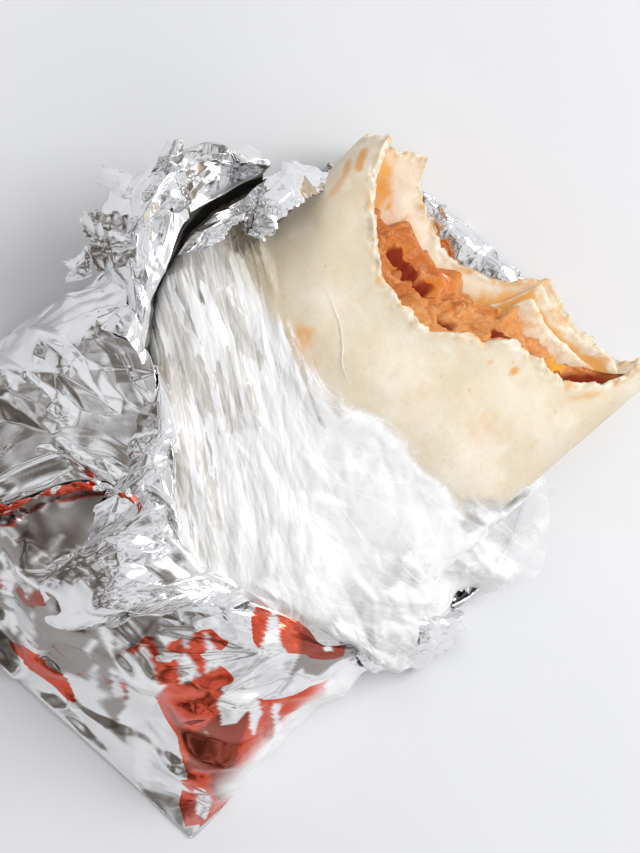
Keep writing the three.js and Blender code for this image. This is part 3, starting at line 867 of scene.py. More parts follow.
def foilLook(name, printed):
    look = Look(name)
    haze, deep = look.noise(140, 4, 0.6), look.mark("deep")
    cloud = look.mask(look.noise(60, 3, 0.5), 0.35, 0.7)
    silver = look.mix(cloud, rgb(0.87, 0.87, 0.885), rgb(0.95, 0.95, 0.955))
    # painted shade: the foil is darkened to near black where the recess mark is set, deep in the mouth
    silver = look.mix(deep, silver, rgb(0.03, 0.03, 0.033))
    colour = silver
    rough = 0.05 + haze * 0.11 + deep * 0.5
    metal = 1.0
    if printed:
        shade, gleam = look.mark("shade"), look.mark("gleam")     # folds turned from the light or to it
        silver = look.mix(shade * 0.85, silver, rgb(0.27, 0.235, 0.21))
        silver = look.mix(gleam, silver, rgb(0.98, 0.98, 0.98))
        red = look.mix(look.mask(haze, 0.4, 0.75), rgb(0.72, 0.075, 0.03), rgb(0.86, 0.17, 0.09))
        red = look.mix(shade * 0.75, red, rgb(0.22, 0.05, 0.03))
        colour = look.mix(look.mask(look.mark("ink"), 0.42, 0.58) * (1 - gleam), silver, red)
        seal = look.mark("seal")     # the clear sealed edge of the bag
        colour = look.mix(seal, colour, rgb(0.86, 0.85, 0.85))
        metal = 1 - seal
        rough = rough + 0.05 + seal * 0.15
    bump = look.bump(look.noise(520, 4, 0.6), 0.06, 0.3)
    return look.finish({
        "Base Color": colour, "Metallic": metal, "Roughness": rough, "Normal": bump,
        "Coat Weight": 0.5 if printed else 0.0, "Coat Roughness": 0.06,
    })


# where the outer face is printed red, seen from above
redFields = dict(
    shoulder=[(-44, -24), (-36, -20), (-30, -26), (-27, -36), (-29, -45), (-33, -47), (-37, -44.5),
              (-39.5, -40.5), (-42, -35.5), (-45.4, -33), (-46, -29)],
    corner=[(-73, -12), (-67, -22), (-61, -30), (-58, -37), (-54, -42), (-46, -47), (-40, -50), (-50, -60),
            (-92, -66), (-90, -52), (-83, -45), (-78, -36), (-76, -29), (-73, -19)],
    band=[(-73, -11), (-66, -12), (-60, -17), (-52, -20), (-50, -26), (-54, -26), (-61, -20), (-69, -15)],
    seam=[(-97, 12), (-94, 8), (-92, 2), (-91, -5), (-94, -12), (-96, -5), (-97, 3)],
    upperStripe=[(-89, 25), (-81, 22.5), (-74, 19.5), (-75, 18), (-82, 20.5), (-89, 22.5)],
    lowerStripe=[(-69, 16.5), (-62, 13.5), (-56, 11), (-57, 8.5), (-63, 12), (-69, 14.5)],
    patch=[(-84, 18), (-79, 17), (-77, 14), (-80, 11), (-85, 10), (-86, 14)],
    shadow=[(-72, -12.5), (-57, -26), (-57, -33), (-69, -35), (-71, -26)],
    chip=[(-82, -13.5), (-75, -19.5), (-80, -22), (-83, -18)],
    tip=[(-92, -50), (-85.5, -45), (-78, -51), (-79, -58), (-89, -58), (-95, -56)],
)


def insideOutline(x, y, outline):     # mm inside a closed outline, negative outside it
    near = np.full(x.shape, 1e9)
    inside = np.zeros(x.shape, bool)
    for (ax, ay), (bx, by) in zip(outline, outline[1:] + outline[:1]):
        alongSide = (x - ax) * (bx - ax) + (y - ay) * (by - ay)
        share = np.clip(alongSide / ((bx - ax) ** 2 + (by - ay) ** 2), 0, 1)
        near = np.minimum(near, np.hypot(x - ax - share * (bx - ax), y - ay - share * (by - ay)))
        crossing = (ay > y) != (by > y)
        inside ^= crossing & (x < ax + (bx - ax) * (y - ay) / np.where(by == ay, 1e-9, by - ay))
    return np.where(inside, near, -near)


def inkAt(x, y):     # 0 on bare silver, 1 on red, and smooth between
    wander = 0.9 * softNoise(x, y, 0.0, 6, 301)
    wander = wander + 1.1 * facets(x, y, 4.5, 303, 1.6, 0.8)
    deepest = np.max([insideOutline(x, y, outline) for outline in redFields.values()], axis=0)
    return ease(-0.5, 0.5, deepest + wander)


def pastSeam(x, y):     # mm forwards of the pouch's flat end
    (rightX, rightY), (leftX, leftY) = pouchSections[0]["right"], pouchSections[0]["left"]
    return x - np.interp(y, [rightY, leftY], [rightX, leftX])


def foldShade(x, y):     # 1 on the folds that turn from the light
    calm = 0.7 * ease(15, 5, pastSeam(x, y)) * ease(-12, -22, y)
    field = 0.6 * facets(x, y, 11, 217, 1.8, 0.9) + 0.5 * facets(x, y, 4.5, 219, 2.0, 0.4)
    return ease(0.0, 0.06, field - calm - 0.08 + 0.2 * ease(-8, 6, y))


def foldGleam(x, y):     # 1 on the folds that catch it
    field = 0.6 * facets(x, y, 6, 223, 2.4, 1.1) + 0.55 * facets(x, y, 2.8, 227, 2.0, 0.7)
    return ease(0.34, 0.38, field)


def sealAt(x, y, z):     # the clear strip down the -Y side
    edge = np.interp(x, [-95, -82, -66, -46, -36], [-59, -58, -55.5, -53, -50])
    strip = ease(9, 2.5, y - edge + 1.5 * softNoise(x, y, 4.0, 12, 303))
    return strip * ease(-34, -42, x) * ease(30, 20, z) * (1 - 0.8 * ease(-78, -84, x))


# the torn side of the pouch turned inside out, lying back over it
turnedSide = dict(
    creases=[(15, 3.9, 1.7, 1.2), (7.5, 2.5, 1.8, 0.7), (3.8, 0.45, 1.4, 0.0)],
    farTurn=0.712, stand=3.2, lean=3.0,
    edge=[(0.0, 0.895), (0.2, 0.905), (0.43, 0.922), (0.5, 0.94), (0.6, 0.968), (1.0, 0.985)],
)


def turnedEdge(along):     # how far round the pouch the sheet reaches
    places, turns = zip(*turnedSide["edge"])
    return np.interp(along, places, turns) + 0.004 * roughNoise(along * 60, 0.0, 0.0, 9, 401, 2)


def makePouchBody():
    grid = pouchSurface
    along = np.linspace(0, 1, len(grid))[:, None]
    turn = (np.arange(pouch["around"]) / pouch["around"])[None, :]
    covered = ease(0.70, 0.73, turn) * ease(0.0, 0.02, turnedEdge(along) - turn)     # by the turned side
    keep = ease(0.3, 4, grid[..., 2]) * (1 - 0.9 * covered)
    keep = np.maximum(keep, 0.4 * ease(28, 42, grid[..., 0]))
    calm = ease(15, 5, pastSeam(grid[..., 0], grid[..., 1])) * ease(-14, -24, grid[..., 1])
    keep = keep * (1 - 0.75 * calm)
    outer = crumpled(grid, pouch["creases"], 201, keep, True, -1.6)
    outer[..., 2] = np.maximum(outer[..., 2], 0.05)
    inner = (outer - gridNormals(outer, True) * pouch["wall"])[::-2]
    inner[..., 2] = np.maximum(inner[..., 2], 0.3)
    rows = np.concatenate([outer, inner])
    seam = np.array([-102, 0, 0.7])
    points, faces = closedTube(rows, seam, seam + (pouch["wall"], 0, 0))
    x, y, z = points.T
    lining = np.arange(len(points)) >= (len(outer) - 3) * pouch["around"]
    # painted shade: the lining and the mouth's edge on the +Y side are darkened towards black
    deep = lining * ease(-60, -20, x) * ease(40, 30, x) * ease(-20, 0, y) * ease(12, 20, z)
    marks = {
        "ink": inkAt(x, y) * ~lining, "seal": sealAt(x, y, z) * ~lining, "deep": deep,
        "shade": foldShade(x, y) * ~lining, "gleam": foldGleam(x, y) * ~lining,
    }
    order = np.zeros(len(faces), int)
    shownFaces = (len(outer) - 1) * pouch["around"]
    order[shownFaces:-2 * pouch["around"]] = 1
    return meshPiece("pouchBody", points, faces, [printLook, silverLook], marks, order)


printLook = foilLook("printedFoil", True)
silverLook = foilLook("bareFoil", False)
pouchBody = makePouchBody()
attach(pouchBody, "root")
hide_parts("foil_pouch")
print("pouch body made")


def faceUp(grid):
    return grid if gridNormals(grid)[..., 2].mean() > 0 else grid[:, ::-1]


def foilPiece(name, grid, thick=0.22, over=silverLook, deep=0.0, ink=1.0):
    marks = {label: np.broadcast_to(v, grid.shape[:2]) for label, v in (("ink", ink), ("deep", deep))}
    piece = thinSheet(name, grid, thick, [over, silverLook], marks, 1)
    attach(piece, "root")
    return piece


def makeTurnedSide():
    along = np.linspace(0.03, 0.985, 215)[:, None]
    share = np.linspace(0, 1, 222)[None, :]
    grid = onPouch(blend(turnedSide["farTurn"], turnedEdge(along), share), along)
    stand = 1.2 + turnedSide["stand"] * ease(0.04, 0.5, share) * ease(1.0, 0.9, share)
    grid = grid + gridNormals(grid) * stand[..., None]
    keep = ease(0.0, 0.1, share) * ease(0.0, 0.05, along) * ease(0.5, 6, grid[..., 2])
    keep = keep * (0.35 + 0.65 * ease(1.0, 0.93, share))
    grid = crumpled(grid, turnedSide["creases"], 415, keep, lowest=-1.4)
    # its mouth leans over the gap low on the +Y side
    lean = turnedSide["lean"] * ease(0.85, 0.985, along) * ease(56, 47, grid[..., 1]) * ease(0.3, 0.5, share)
    grid = grid + lean[..., None] * np.array([0.757, -0.653, 0.1])
    grid = tornEdge(grid, 2.6, 5.0, 419)
    grid[..., 2] = np.maximum(grid[..., 2], 0.4)
    return foilPiece("turnedSide", grid)


# the printed side shows as a thin crumpled curl along its edge
def makeCurledEdge():
    along = np.linspace(0.05, 0.75, 420)
    spine = onPouch(turnedEdge(along) + 0.003, along)
    ahead = np.gradient(spine, axis=0)
    ahead /= np.linalg.norm(ahead, axis=-1, keepdims=True)
    up = np.array([0, 0, 1.0]) - ahead * ahead[:, 2:]
    up /= np.linalg.norm(up, axis=-1, keepdims=True)
    out = np.cross(up, ahead)
    turn = np.linspace(4.4, -0.9, 30)[None, :, None]
    wide = 0.55 + 0.35 * softNoise(along * 60, 2.0, 0.0, 5, 421) + 1.4 * ease(0.50, 0.38, along)
    size = wide[:, None, None]
    lift = 3.0 + 0.6 * softNoise(along * 60, 5.0, 0.0, 6, 423)[:, None, None] + 0.7 * np.sin(turn)
    grid = spine[:, None] + up[:, None] * lift - out[:, None] * size * 1.5 * np.cos(turn)
    creases = [(5, 1.0, 1.5, 0.4), (2.4, 0.8, 1.6, 0.9), (1.1, 0.15, 1.0, 0.0)]
    grid = crumpled(grid, creases, 431)
    x, y, z = np.moveaxis(grid, -1, 0)
    worn = roughNoise(x, y, z, 4.5, 433, 3) + 0.55 - 0.5 * ease(0.48, 0.62, along)[:, None]
    return foilPiece("curledEdge", grid, 0.2, printLook, ink=ease(-0.08, 0.12, worn))


makeTurnedSide()
makeCurledEdge()


# strips of crumpled foil laid over the pouch: each line runs from the film outwards
def stripNet(inner, outer, shares, rises):
    rows = []
    for (innerX, innerY), (outerX, outerY) in zip(inner, outer):
        line = []
        for share, rise in zip(shares, rises):
            x, y = blend(innerX, outerX, share), blend(innerY, outerY, share)
            line.append((x, y, pouchHeight(x, y) + rise))
        rows.append(line)
    return np.asarray(rows).swapaxes(0, 1)


cuff = dict(
    inner=[(-20, 37), (-26, 24), (-30, 21), (-37, 15), (-43, 7), (-47, -1), (-46, -7),
           (-42, -15), (-41, -21)],
    outer=[(-21, 38), (-36, 29), (-49, 24), (-62, 17), (-76, 17), (-85, 9), (-80, 1),
           (-67, -4), (-60, -13), (-50, -23)],
    shares=(-0.15, 0.0, 0.25, 0.6, 1.0), rises=(-4.0, 2.2, 4.2, 3.4, 1.8),
    creases=[(8, 2.4, 1.7, 1.2), (4.4, 2.0, 2.2, 1.5), (2.2, 0.2, 1.5, 0.9)],
)


def makeCuff():
    grid = netGrid(stripNet(cuff["inner"], cuff["outer"], cuff["shares"], cuff["rises"]), 0.46)[:, ::-1]
    grid = tornEdge(grid, 5.0, 4.5, 441)
    share = np.linspace(0, 1, len(grid))[:, None]
    wide = np.linalg.norm(grid[-1] - grid[0], axis=-1)
    keep = (0.25 + 0.75 * ease(0.05, 0.3, share)) * np.clip((wide - 4) / 16, 0.2, 1)
    keep = keep * (1 - 0.55 * ease(-64, -72, grid[..., 0]))     # a flatter plate at the far end
    return foilPiece("crumpledCuff", crumpled(grid, cuff["creases"], 451, keep, lowest=-2.4))


# the peeled rim over the gap at +Y: x, y, z of its lines, from deep in the mouth out over the fold
rimLines = [
    [(-24, 38, 32), (-23, 40, 44), (-22, 43, 46), (-22, 47, 47), (-23, 50, 45), (-25, 53, 41)],
    [(-16, 45, 30), (-15, 47, 43), (-14, 49, 44), (-14, 52, 44), (-15, 54, 42), (-17, 56, 38)],
    [(-12, 50, 26), (-11, 51, 43), (-10, 55, 44), (-10, 59, 45), (-12, 65, 40), (-15, 68, 28)],
    [(-8, 52, 22), (-6, 53, 43), (-5, 59, 44), (-4, 65, 48), (-7, 70, 40), (-10, 75, 26)],
    [(-2, 55, 20), (-1, 55, 43), (0, 62, 42), (2, 67, 50), (0, 74, 40), (-2, 79, 24)],
    [(3, 57, 18), (4, 58, 42), (6, 64, 43), (6, 68, 50), (7, 75, 40), (6, 79, 26)],
    [(7, 59, 16), (8, 60, 40), (10, 65, 42), (12, 70, 48), (13, 75, 42), (13, 78, 28)],
    [(13, 59, 14), (13, 60, 38), (16, 64, 38), (18, 68, 44), (20, 72, 46), (21, 75, 32)],
    [(18, 59, 12), (19, 59, 36), (22, 63, 32), (24, 65, 42), (25, 68, 47), (25, 72, 32)],
    [(24, 57, 12), (25, 58, 36), (27, 60, 33), (28, 61, 44), (28, 64, 46), (29, 68, 30)],
    [(28, 55, 14), (30, 56, 36), (32, 56, 41), (33, 57, 42), (33, 60, 38), (34, 63, 26)],
]


def makeRim():
    grid = netAcross(rimLines, 0.36, True)
    grid = tornEdge(grid, 6.0, 7.0, 461)
    share = np.linspace(0, 1, len(grid))[:, None]
    creases = [(10, 2.4, 1.5, 0.9), (5.0, 1.2, 1.5, 1.3), (2.4, 0.18, 1.2, 0.0)]
    keep = 0.25 + 0.25 * ease(0.25, 0.34, share) + 0.5 * ease(0.44, 0.56, share)
    # painted shade: the rim's low inner lip is darkened towards black
    deep = ease(40, 31, grid[..., 2]) * ease(0.30, 0.22, share)
    return foilPiece("peeledRim", crumpled(grid, creases, 475, keep, lowest=-2.0), deep=deep)


# crumpled lumps low on the -Y side, and the edge that lies on the table beyond the bite
lumpLines = [
    [(-32, -46, 20), (-31, -50, 22), (-31, -54, 16), (-31, -57, 6)],
    [(-25, -44, 22), (-24, -51, 25), (-24, -59, 18), (-23, -63, 2)],
    [(-16, -43, 20), (-15, -51, 26), (-15, -60, 19), (-14, -66, 1)],
    [(-9, -44, 16), (-8, -51, 20), (-7, -59, 14), (-6, -64, 1)],
    [(-3, -45, 10), (-2, -50, 11), (-2, -54, 7), (-2, -57, 1)],
    [(4, -45, 7), (4, -51, 10), (5, -57, 8), (5, -60, 1)],
    [(10, -46, 3), (10, -49, 5), (11, -53, 3), (11, -56, 0.6)],
]
lipLines = [
    [(44, -16, 0.8), (50, -17, 1.0), (54, -18, 1.6), (57, -19, 0.8)],
    [(50, -6, 0.8), (56, -6, 1.2), (63, -6, 1.8), (66, -6, 0.8)],
    [(49, 1, 0.8), (56, 2, 1.6), (62, 3, 2.6), (66, 3, 0.8)],
    [(48, 8, 0.8), (53, 9, 2.0), (60, 10, 3.0), (65, 10, 0.8)],
    [(48, 14, 0.8), (54, 15, 2.2), (60, 17, 3.2), (64, 16, 0.8)],
    [(49, 22, 0.8), (56, 23, 2.0), (60, 24, 2.6), (62, 23, 0.8)],
    [(47, 30, 0.8), (54, 31, 1.4), (58, 31, 1.8), (60, 31, 0.8)],
    [(44, 38, 0.8), (49, 40, 1.2), (52, 41, 1.6), (54, 42, 0.8)],
    [(40, 45, 0.8), (44, 48, 1.4), (46, 50, 1.6), (48, 51, 0.8)],
]


def makeCrumpledEdge(name, lines, creases, seed):
    grid = tornEdge(netAcross(lines, 0.34), 4.5, 4.0, seed + 3)
    outward = np.linspace(0.3, 1.3, len(grid))[:, None]
    keep = ease(0.3, 3.0, grid[..., 2]) * np.minimum(outward, 1)
    grid = crumpled(faceUp(grid), creases, seed, keep)
    grid[..., 2] = np.maximum(grid[..., 2], 0.25)
    return foilPiece(name, grid)


makeCuff()
makeRim()
lumpCreases = [(7, 2.6, 1.3, 0.5), (3.8, 1.7, 1.6, 1.2), (2.2, 0.8, 1.4, 0.2), (1.2, 0.25, 1.0, 0.0)]
lipCreases = [(8, 2.6, 1.5, 0.8), (4.2, 1.4, 1.5, 1.5), (2.1, 0.3, 1.0, 0.0)]
makeCrumpledEdge("sideLumps", lumpLines, lumpCreases, 481)
makeCrumpledEdge("frontEdge", lipLines, lipCreases, 491)

# torn plates of foil that stand off the rim: how much each is crumpled, and rows of places on it
tornPlates = dict(
    glaringPlate=dict(crumple=0.35, seed=503, rows=[
        [(-2, 65, 47), (-5, 62, 48), (-8, 59, 46)],
        [(-8, 70, 44), (-10, 66, 46), (-13, 62, 44)],
        [(-13, 72, 42), (-15, 69, 42), (-18, 65, 39)],
    ]),
    mattePlate=dict(crumple=0.3, seed=509, rows=[
        [(-1, 70, 47), (-4, 67, 46), (-7, 66, 44)],
        [(-6, 75, 42), (-8, 72, 43), (-10, 69, 41)],
        [(-9, 80, 38), (-12, 78, 36), (-14, 74, 37)],
    ]),
    curledTip=dict(crumple=0.8, seed=517, rows=[
        [(-13, 71, 40), (-16, 67, 39), (-18, 65, 36)],
        [(-19, 72, 34), (-20, 69, 38), (-21, 67, 33)],
        [(-23, 74, 29), (-23, 71, 33), (-24, 69, 29)],
    ]),
    spike=dict(crumple=0.7, seed=523, rows=[
        [(9, 74, 42), (12, 71, 46), (16, 69, 43)],
        [(14, 75, 50), (16, 73, 54), (18, 71, 50)],
        [(19, 76, 54), (20, 75, 56), (20, 74, 54)],
    ]),
    farPlate=dict(crumple=0.6, seed=531, rows=[
        [(0, 74, 36), (3, 75, 39), (6, 77, 36)],
        [(-1, 79, 29), (2, 81, 32), (4, 82, 29)],
        [(-3, 84, 22), (-1, 85, 24), (1, 86, 22)],
    ]),
    sidePlate=dict(crumple=0.8, seed=541, rows=[
        [(8, 72, 46), (12, 70, 45), (14, 66, 42)],
        [(4, 72, 47), (9, 66, 47), (12, 62, 42)],
        [(0, 68, 48), (4, 64, 46), (8, 61, 42)],
    ]),
    lipPlate=dict(crumple=0.6, seed=553, rows=[
        [(1, 55, 37), (4, 53, 41), (8, 50, 42)],
        [(8, 57, 38), (10, 54, 42), (13, 50, 42)],
        [(14, 56.5, 38), (16, 53.5, 42), (18, 50, 42)],
        [(20, 55, 37), (21, 52, 41), (22, 49, 41)],
    ]),
    rightPlate=dict(crumple=1.0, seed=547, rows=[
        [(16, 55, 36), (25, 55, 40), (33, 55, 34), (37, 57, 22)],
        [(16, 52, 39), (26, 52, 43), (34, 53, 38), (39, 55, 25)],
        [(17, 48, 40), (27, 49, 42), (35, 49, 38), (41, 51, 24)],
        [(19, 43, 40), (28, 42.5, 40), (36, 43, 36), (44, 44.5, 22)],
    ]),
)


def makeTornPlate(name, plate):
    grid = faceUp(netGrid(plate["rows"], 0.24, True))
    grid = tornEdge(grid, 3.0, 2.6, plate["seed"])
    grid = tornEdge(grid.swapaxes(0, 1), 1.6, 2.2, plate["seed"] + 1).swapaxes(0, 1)
    creases = [(6, 1.6, 1.4, 0.4), (3, 0.65, 1.4, 0.9), (1.5, 0.14, 1.0, 0.0)]
    return foilPiece(name, crumpled(grid, creases, plate["seed"], plate["crumple"]), 0.16)


for name, plate in tornPlates.items():
    makeTornPlate(name, plate)
print("foil peeled back")


# cling film

film = dict(
    around=440, shownRows=200, hiddenTo=-52.0, grow=0.55, wall=0.25, slack=8.0,
    # how far forwards it reaches, from the +Y side round to the -Y side
    front=[(-90, 34), (-56, 33), (-46, 28), (-36, 19), (-26, 12.5), (-18, 11), (-10, 11.5),
           (0, 12.5), (10, 14.5), (38, 15.5), (50, 24), (62, 32), (90, 32)],
    # slant, squeeze along the line, scale and strength of each set of fine creases
    creases=[(0.05, 0.13, 0.15, 1.0), (0.28, 0.16, 0.3, 0.5),
             (-0.32, 0.18, 0.26, 0.6), (0.8, 0.35, 0.24, 0.5)],
    # the front edge of a single clear layer over the bare tortilla
    clearEdge=[(23.7, -26), (22.1, -21), (20, -15.6), (17.2, -11.4), (14.1, -7.8), (12.1, -2.8)],
    strandSeed=77, strandWidth=0.34, strandThickness=0.07,
)


def makeArc():     # how far round the roll each angle is, in mm from the crown, + towards -Y
    angle = np.radians(np.linspace(-80, 260, 2400))
    p = skin(0.0, angle, film["grow"])
    run = np.append(0, np.cumsum(np.linalg.norm(np.diff(p[:, 1:], axis=0), axis=1)))
    return angle, run - np.interp(np.pi / 2, angle, run)


arcAngles, arcRuns = makeArc()
mouthRing = closedSpline(mouthPoints, 400)


def arcDistance(angle):     # the same measure for any angle from 0 to a full turn
    wrapped = np.where(angle > np.radians(260), angle - 2 * np.pi, angle)
    return np.interp(wrapped, arcAngles, arcRuns)


def mouthAt(y):     # where the pouch's mouth crosses y, on top
    upper = mouthRing[mouthRing[:, 2] > widestZ]
    order = np.argsort(upper[:, 1])
    return np.interp(y, upper[order, 1], upper[order, 0])


def filmCross(x, s):     # the same all along a fold: they run down to the left, and fan out on the right
    return x + 0.35 * s - 0.45 * np.sqrt((s + x + 3) ** 2 + 64)


def filmSlack(x, s):     # the sleeve stands loose from the +Y side of the roll
    return film["slack"] * ease(-26, -2, x) * ease(50, 20, x) * ease(-28, -50, s) * ease(-96, -72, s)


def filmReach(s):
    places, reaches = zip(*film["front"])
    return np.interp(s, places, reaches) + 1.2 + 2.2 * roughNoise(s, 0.0, 0.0, 12, 601, 2)


def thinPlace(x, s):     # where only a single layer lies over the +Y shoulder
    return ease(6, 15, x + 1.5 * softNoise(x, s, 2.0, 5, 629)) * ease(-22, -30, s)


def filmFolds(x, s):     # height of the bunched film over the roll
    cross = filmCross(x, s) + 4.0 * softNoise(x, s, 0.0, 22, 611)
    crossed = x + 0.25 * s + 3.0 * softNoise(x, s, 5.0, 16, 612)
    long = facets(cross, s, 8.0, 613, 1.8, 1.57)
    middle = facets(cross, s, 3.8, 617, 1.9, 1.45)
    over = facets(crossed, s, 4.5, 619, 2.0, 1.75)
    creased = facets(x - 0.5 * s, s, 5.5, 635, 1.7, 0.5)
    small = facets(x + 0.5 * s, s, 2.6, 639, 1.6, 2.2)
    angular = ease(-0.3, 0.3, softNoise(x, s, 7.0, 13, 628))
    lump = softNoise(x, s, 0.0, 15, 623)
    thin = thinPlace(x, s)
    pulled = 0.3 * softNoise(x / 5, s, 0.0, 2.2, 625) + 0.12 * softNoise(x / 6, s, 0.0, 1.0, 627)
    bunched = 1.6 + 1.2 * lump + 0.55 * long + 0.25 * middle + 0.4 * over
    bunched = bunched + angular * (0.6 * creased + 0.2 * small)
    return blend(bunched, 1.2 + 0.6 * lump + pulled, thin)


def filmVeil(x, s, reach):     # how milky the film is
    wisp = 5.0 * softNoise(filmCross(x, s), s / 7, 0.0, 1.6, 631) + 2.5 * softNoise(x, s, 0.0, 9, 633)
    veil = ease(-0.5, 10.5, reach - x + wisp * ease(0, 8, reach - x))
    thin = thinPlace(x, s)
    stripe = ease(0.0, 0.5, softNoise(filmCross(x, s), s / 9, 0.0, 3.0, 637))
    left = ease(-24, -34, s) * ease(2, -6, x) * ease(-30, -20, x) * stripe
    low = ease(14, 32, s) * ease(-26, -38, x)     # over the printed foil
    return veil * (1 - 0.25 * thin) * (1 - 0.45 * left) * (1 - 0.5 * low)


def filmLayers(x, s):     # from -1 to 1 in angular patches: where more or fewer layers lie over each other
    cross = filmCross(x, s) + 2.0 * softNoise(x, s, 0.0, 9, 615)
    return 0.7 * facets(cross, s, 6.0, 651, 2.4, 1.4) + 0.5 * facets(x + 0.3 * s, s, 3.6, 653, 1.6, 0.9)


def makeFilmSleeve():
    angle = np.linspace(0, 2 * np.pi, film["around"], endpoint=False)
    s = arcDistance(angle)
    reach = filmReach(s)
    up = ease(-0.5, 0.15, np.sin(angle))
    rows = [skin(x, angle, film["grow"], size) for x, size in rearCap(film["grow"], 4)]
    for share in np.linspace(0, 1, film["shownRows"]):
        x = blend(film["hiddenTo"], reach, share)
        clear = ease(-2, 4, x - mouthAt(skin(0.0, angle, 0.0)[:, 1]))
        flat = ease(0, 7, reach - x)
        out = filmFolds(x, s) * clear * up * flat + filmSlack(x, s)
        rows.append(settled(skin(x, angle, film["grow"] + out)))
    outer = np.stack(rows)
    outer[..., 2] = np.maximum(outer[..., 2], 0.4)
    inner = np.stack([skin(blend(film["hiddenTo"], reach - 0.2, share), angle, film["grow"] - film["wall"])
                      for share in np.linspace(1, 0, 14)])
    grid = np.concatenate([outer, inner])
    points, faces = closedTube(grid, (roll["rearX"] - 0.5, 0, widestZ), (film["hiddenTo"] - 1, 0, widestZ))
    allX, allS = grid[..., 0], np.broadcast_to(s, grid.shape[:2])
    veil = filmVeil(allX, allS, reach[None, :])
    veil[len(outer):] = 0.0
    # painted shade along the folds, where the single layer lies over the tortilla
    smudge = ease(7, 14, allX) * ease(30, 25, allX) * ease(-38, -44, allS)
    marks = {
        "veil": withPoles(veil, 1, 0), "cross": withPoles(filmCross(allX, allS)), "along": withPoles(allS),
        "layers": withPoles(filmLayers(allX, allS)), "tan": withPoles(thinPlace(allX, allS)),
        "left": withPoles(0.25 + 0.75 * ease(-2, -22, allS + 0.5 * allX)), "smudge": withPoles(smudge),
    }
    return meshPiece("filmSleeve", points, faces, [filmLook], marks)


def makeFilmLook(name, most):     # most: how much the milkiest places hide
    look = Look(name)
    cross, along = look.mark("cross"), look.mark("along")

    def place(x, y, z=0.0):
        return look.node("ShaderNodeCombineXYZ", {}, {"X": x, "Y": y, "Z": z})

    flow = place(cross, along * 0.24)
    # long flat facets with fine creases between them, at a few slants; the creases are drawn bright as
    # painted highlights
    bowed = cross + (look.noise(0.09, 2, 0.5, flow) - 0.5) * 5.0
    lines, tones, ridges = [], [], []
    for slant, squeeze, scale, strength in film["creases"]:
        lean, straight = math.sin(slant), math.cos(slant)
        spot = place(bowed * straight + along * lean, (along * straight - bowed * lean) * squeeze, slant * 9)
        edge, tone = look.cells(scale, spot)
        shown = look.mask(look.noise(0.13, 2, 0.5, spot), 0.40, 0.60) * strength
        lines.append((1 - look.mask(edge, 0.0, 0.055)) * shown)
        tones.append(tone * 0.25)
        ridges.append(look.mask(edge, 0.0, 0.3) * strength)
    facet, ridge = sum(tones[1:], tones[0]), sum(ridges[1:], ridges[0])
    creases = lines[0]
    for line in lines[1:]:
        creases = look.maths("MAXIMUM", creases, line)
    streak = look.noise(0.45, 4, 0.55, flow, 0.8)
    thread = look.noise(1.2, 3, 0.5, flow, 0.8)
    patch = look.noise(90, 4, 0.6)
    veil, tan = look.mark("veil"), look.mark("tan")
    body = look.mask(veil, 0.0, 0.8)     # the front edge thins out evenly
    few = look.noise(0.2, 3, 0.55, flow, 0.5) + (facet - 0.5) * 0.5 + look.mark("layers") * 0.18
    few = look.mask(few, 0.50, 0.54) * look.mark("left")
    uneven = (streak - 0.5) * 0.5 + (facet - 0.5) * 0.9 + (patch - 0.5) * 0.4 + (thread - 0.5) * 0.2
    uneven = uneven - few * 0.6
    cover = veil * 1.3 + uneven * body + creases * (body * 0.25 + 0.1)
    alpha = look.mask(cover, 0.1, 1.05) * (most - 0.04) + 0.04
    alpha = alpha * look.mask(veil, 0.0, 0.1)
    # white folds, lighter or darker facet by facet as painted shading, with long warm grey places where fewer
    # layers lie over each other
    colour = look.mix(look.mask(facet, 0.36, 0.56), rgb(0.90, 0.90, 0.90), rgb(0.985, 0.985, 0.985))
    colour = look.mix(few * 0.65, colour, rgb(0.74, 0.70, 0.65))
    # painted highlight: the creases are drawn white
    colour = look.mix(creases * 0.7, colour, rgb(1.0, 1.0, 1.0))
    # what shows through the single layer: tan, with painted shade along the folds and painted glints
    pulled = place(along, cross * 0.16)
    drawn = look.noise(0.9, 4, 0.65, pulled, 0.5)
    shade = look.mask(drawn, 0.50, 0.66) * look.mark("smudge")
    through = look.mix(shade * 0.85, rgb(0.72, 0.65, 0.50), rgb(0.17, 0.16, 0.15))
    glint = look.mask(look.noise(1.6, 3, 0.6, pulled, 0.5), 0.58, 0.68)
    through = look.mix(glint * 0.6, through, rgb(0.93, 0.93, 0.92))
    colour = look.mix(tan, colour, through)
    rough = 0.14 + streak * 0.2
    bump = look.bump(ridge, 0.25, 0.4)
    bump = look.bump(streak, 0.35, 0.3, bump)
    bump = look.bump(creases, 0.07, 0.4, bump)
    return look.finish({
        "Base Color": colour, "Roughness": rough, "Alpha": alpha, "Normal": bump,
        "Specular IOR Level": 0.6,
    })


filmLook = makeFilmLook("milkyFilm", 0.95)
clearLook = makeFilmLook("clearFilm", 0.75)
filmSleeve = makeFilmSleeve()
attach(filmSleeve, "root")
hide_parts("cling_film")
print("film sleeve made")


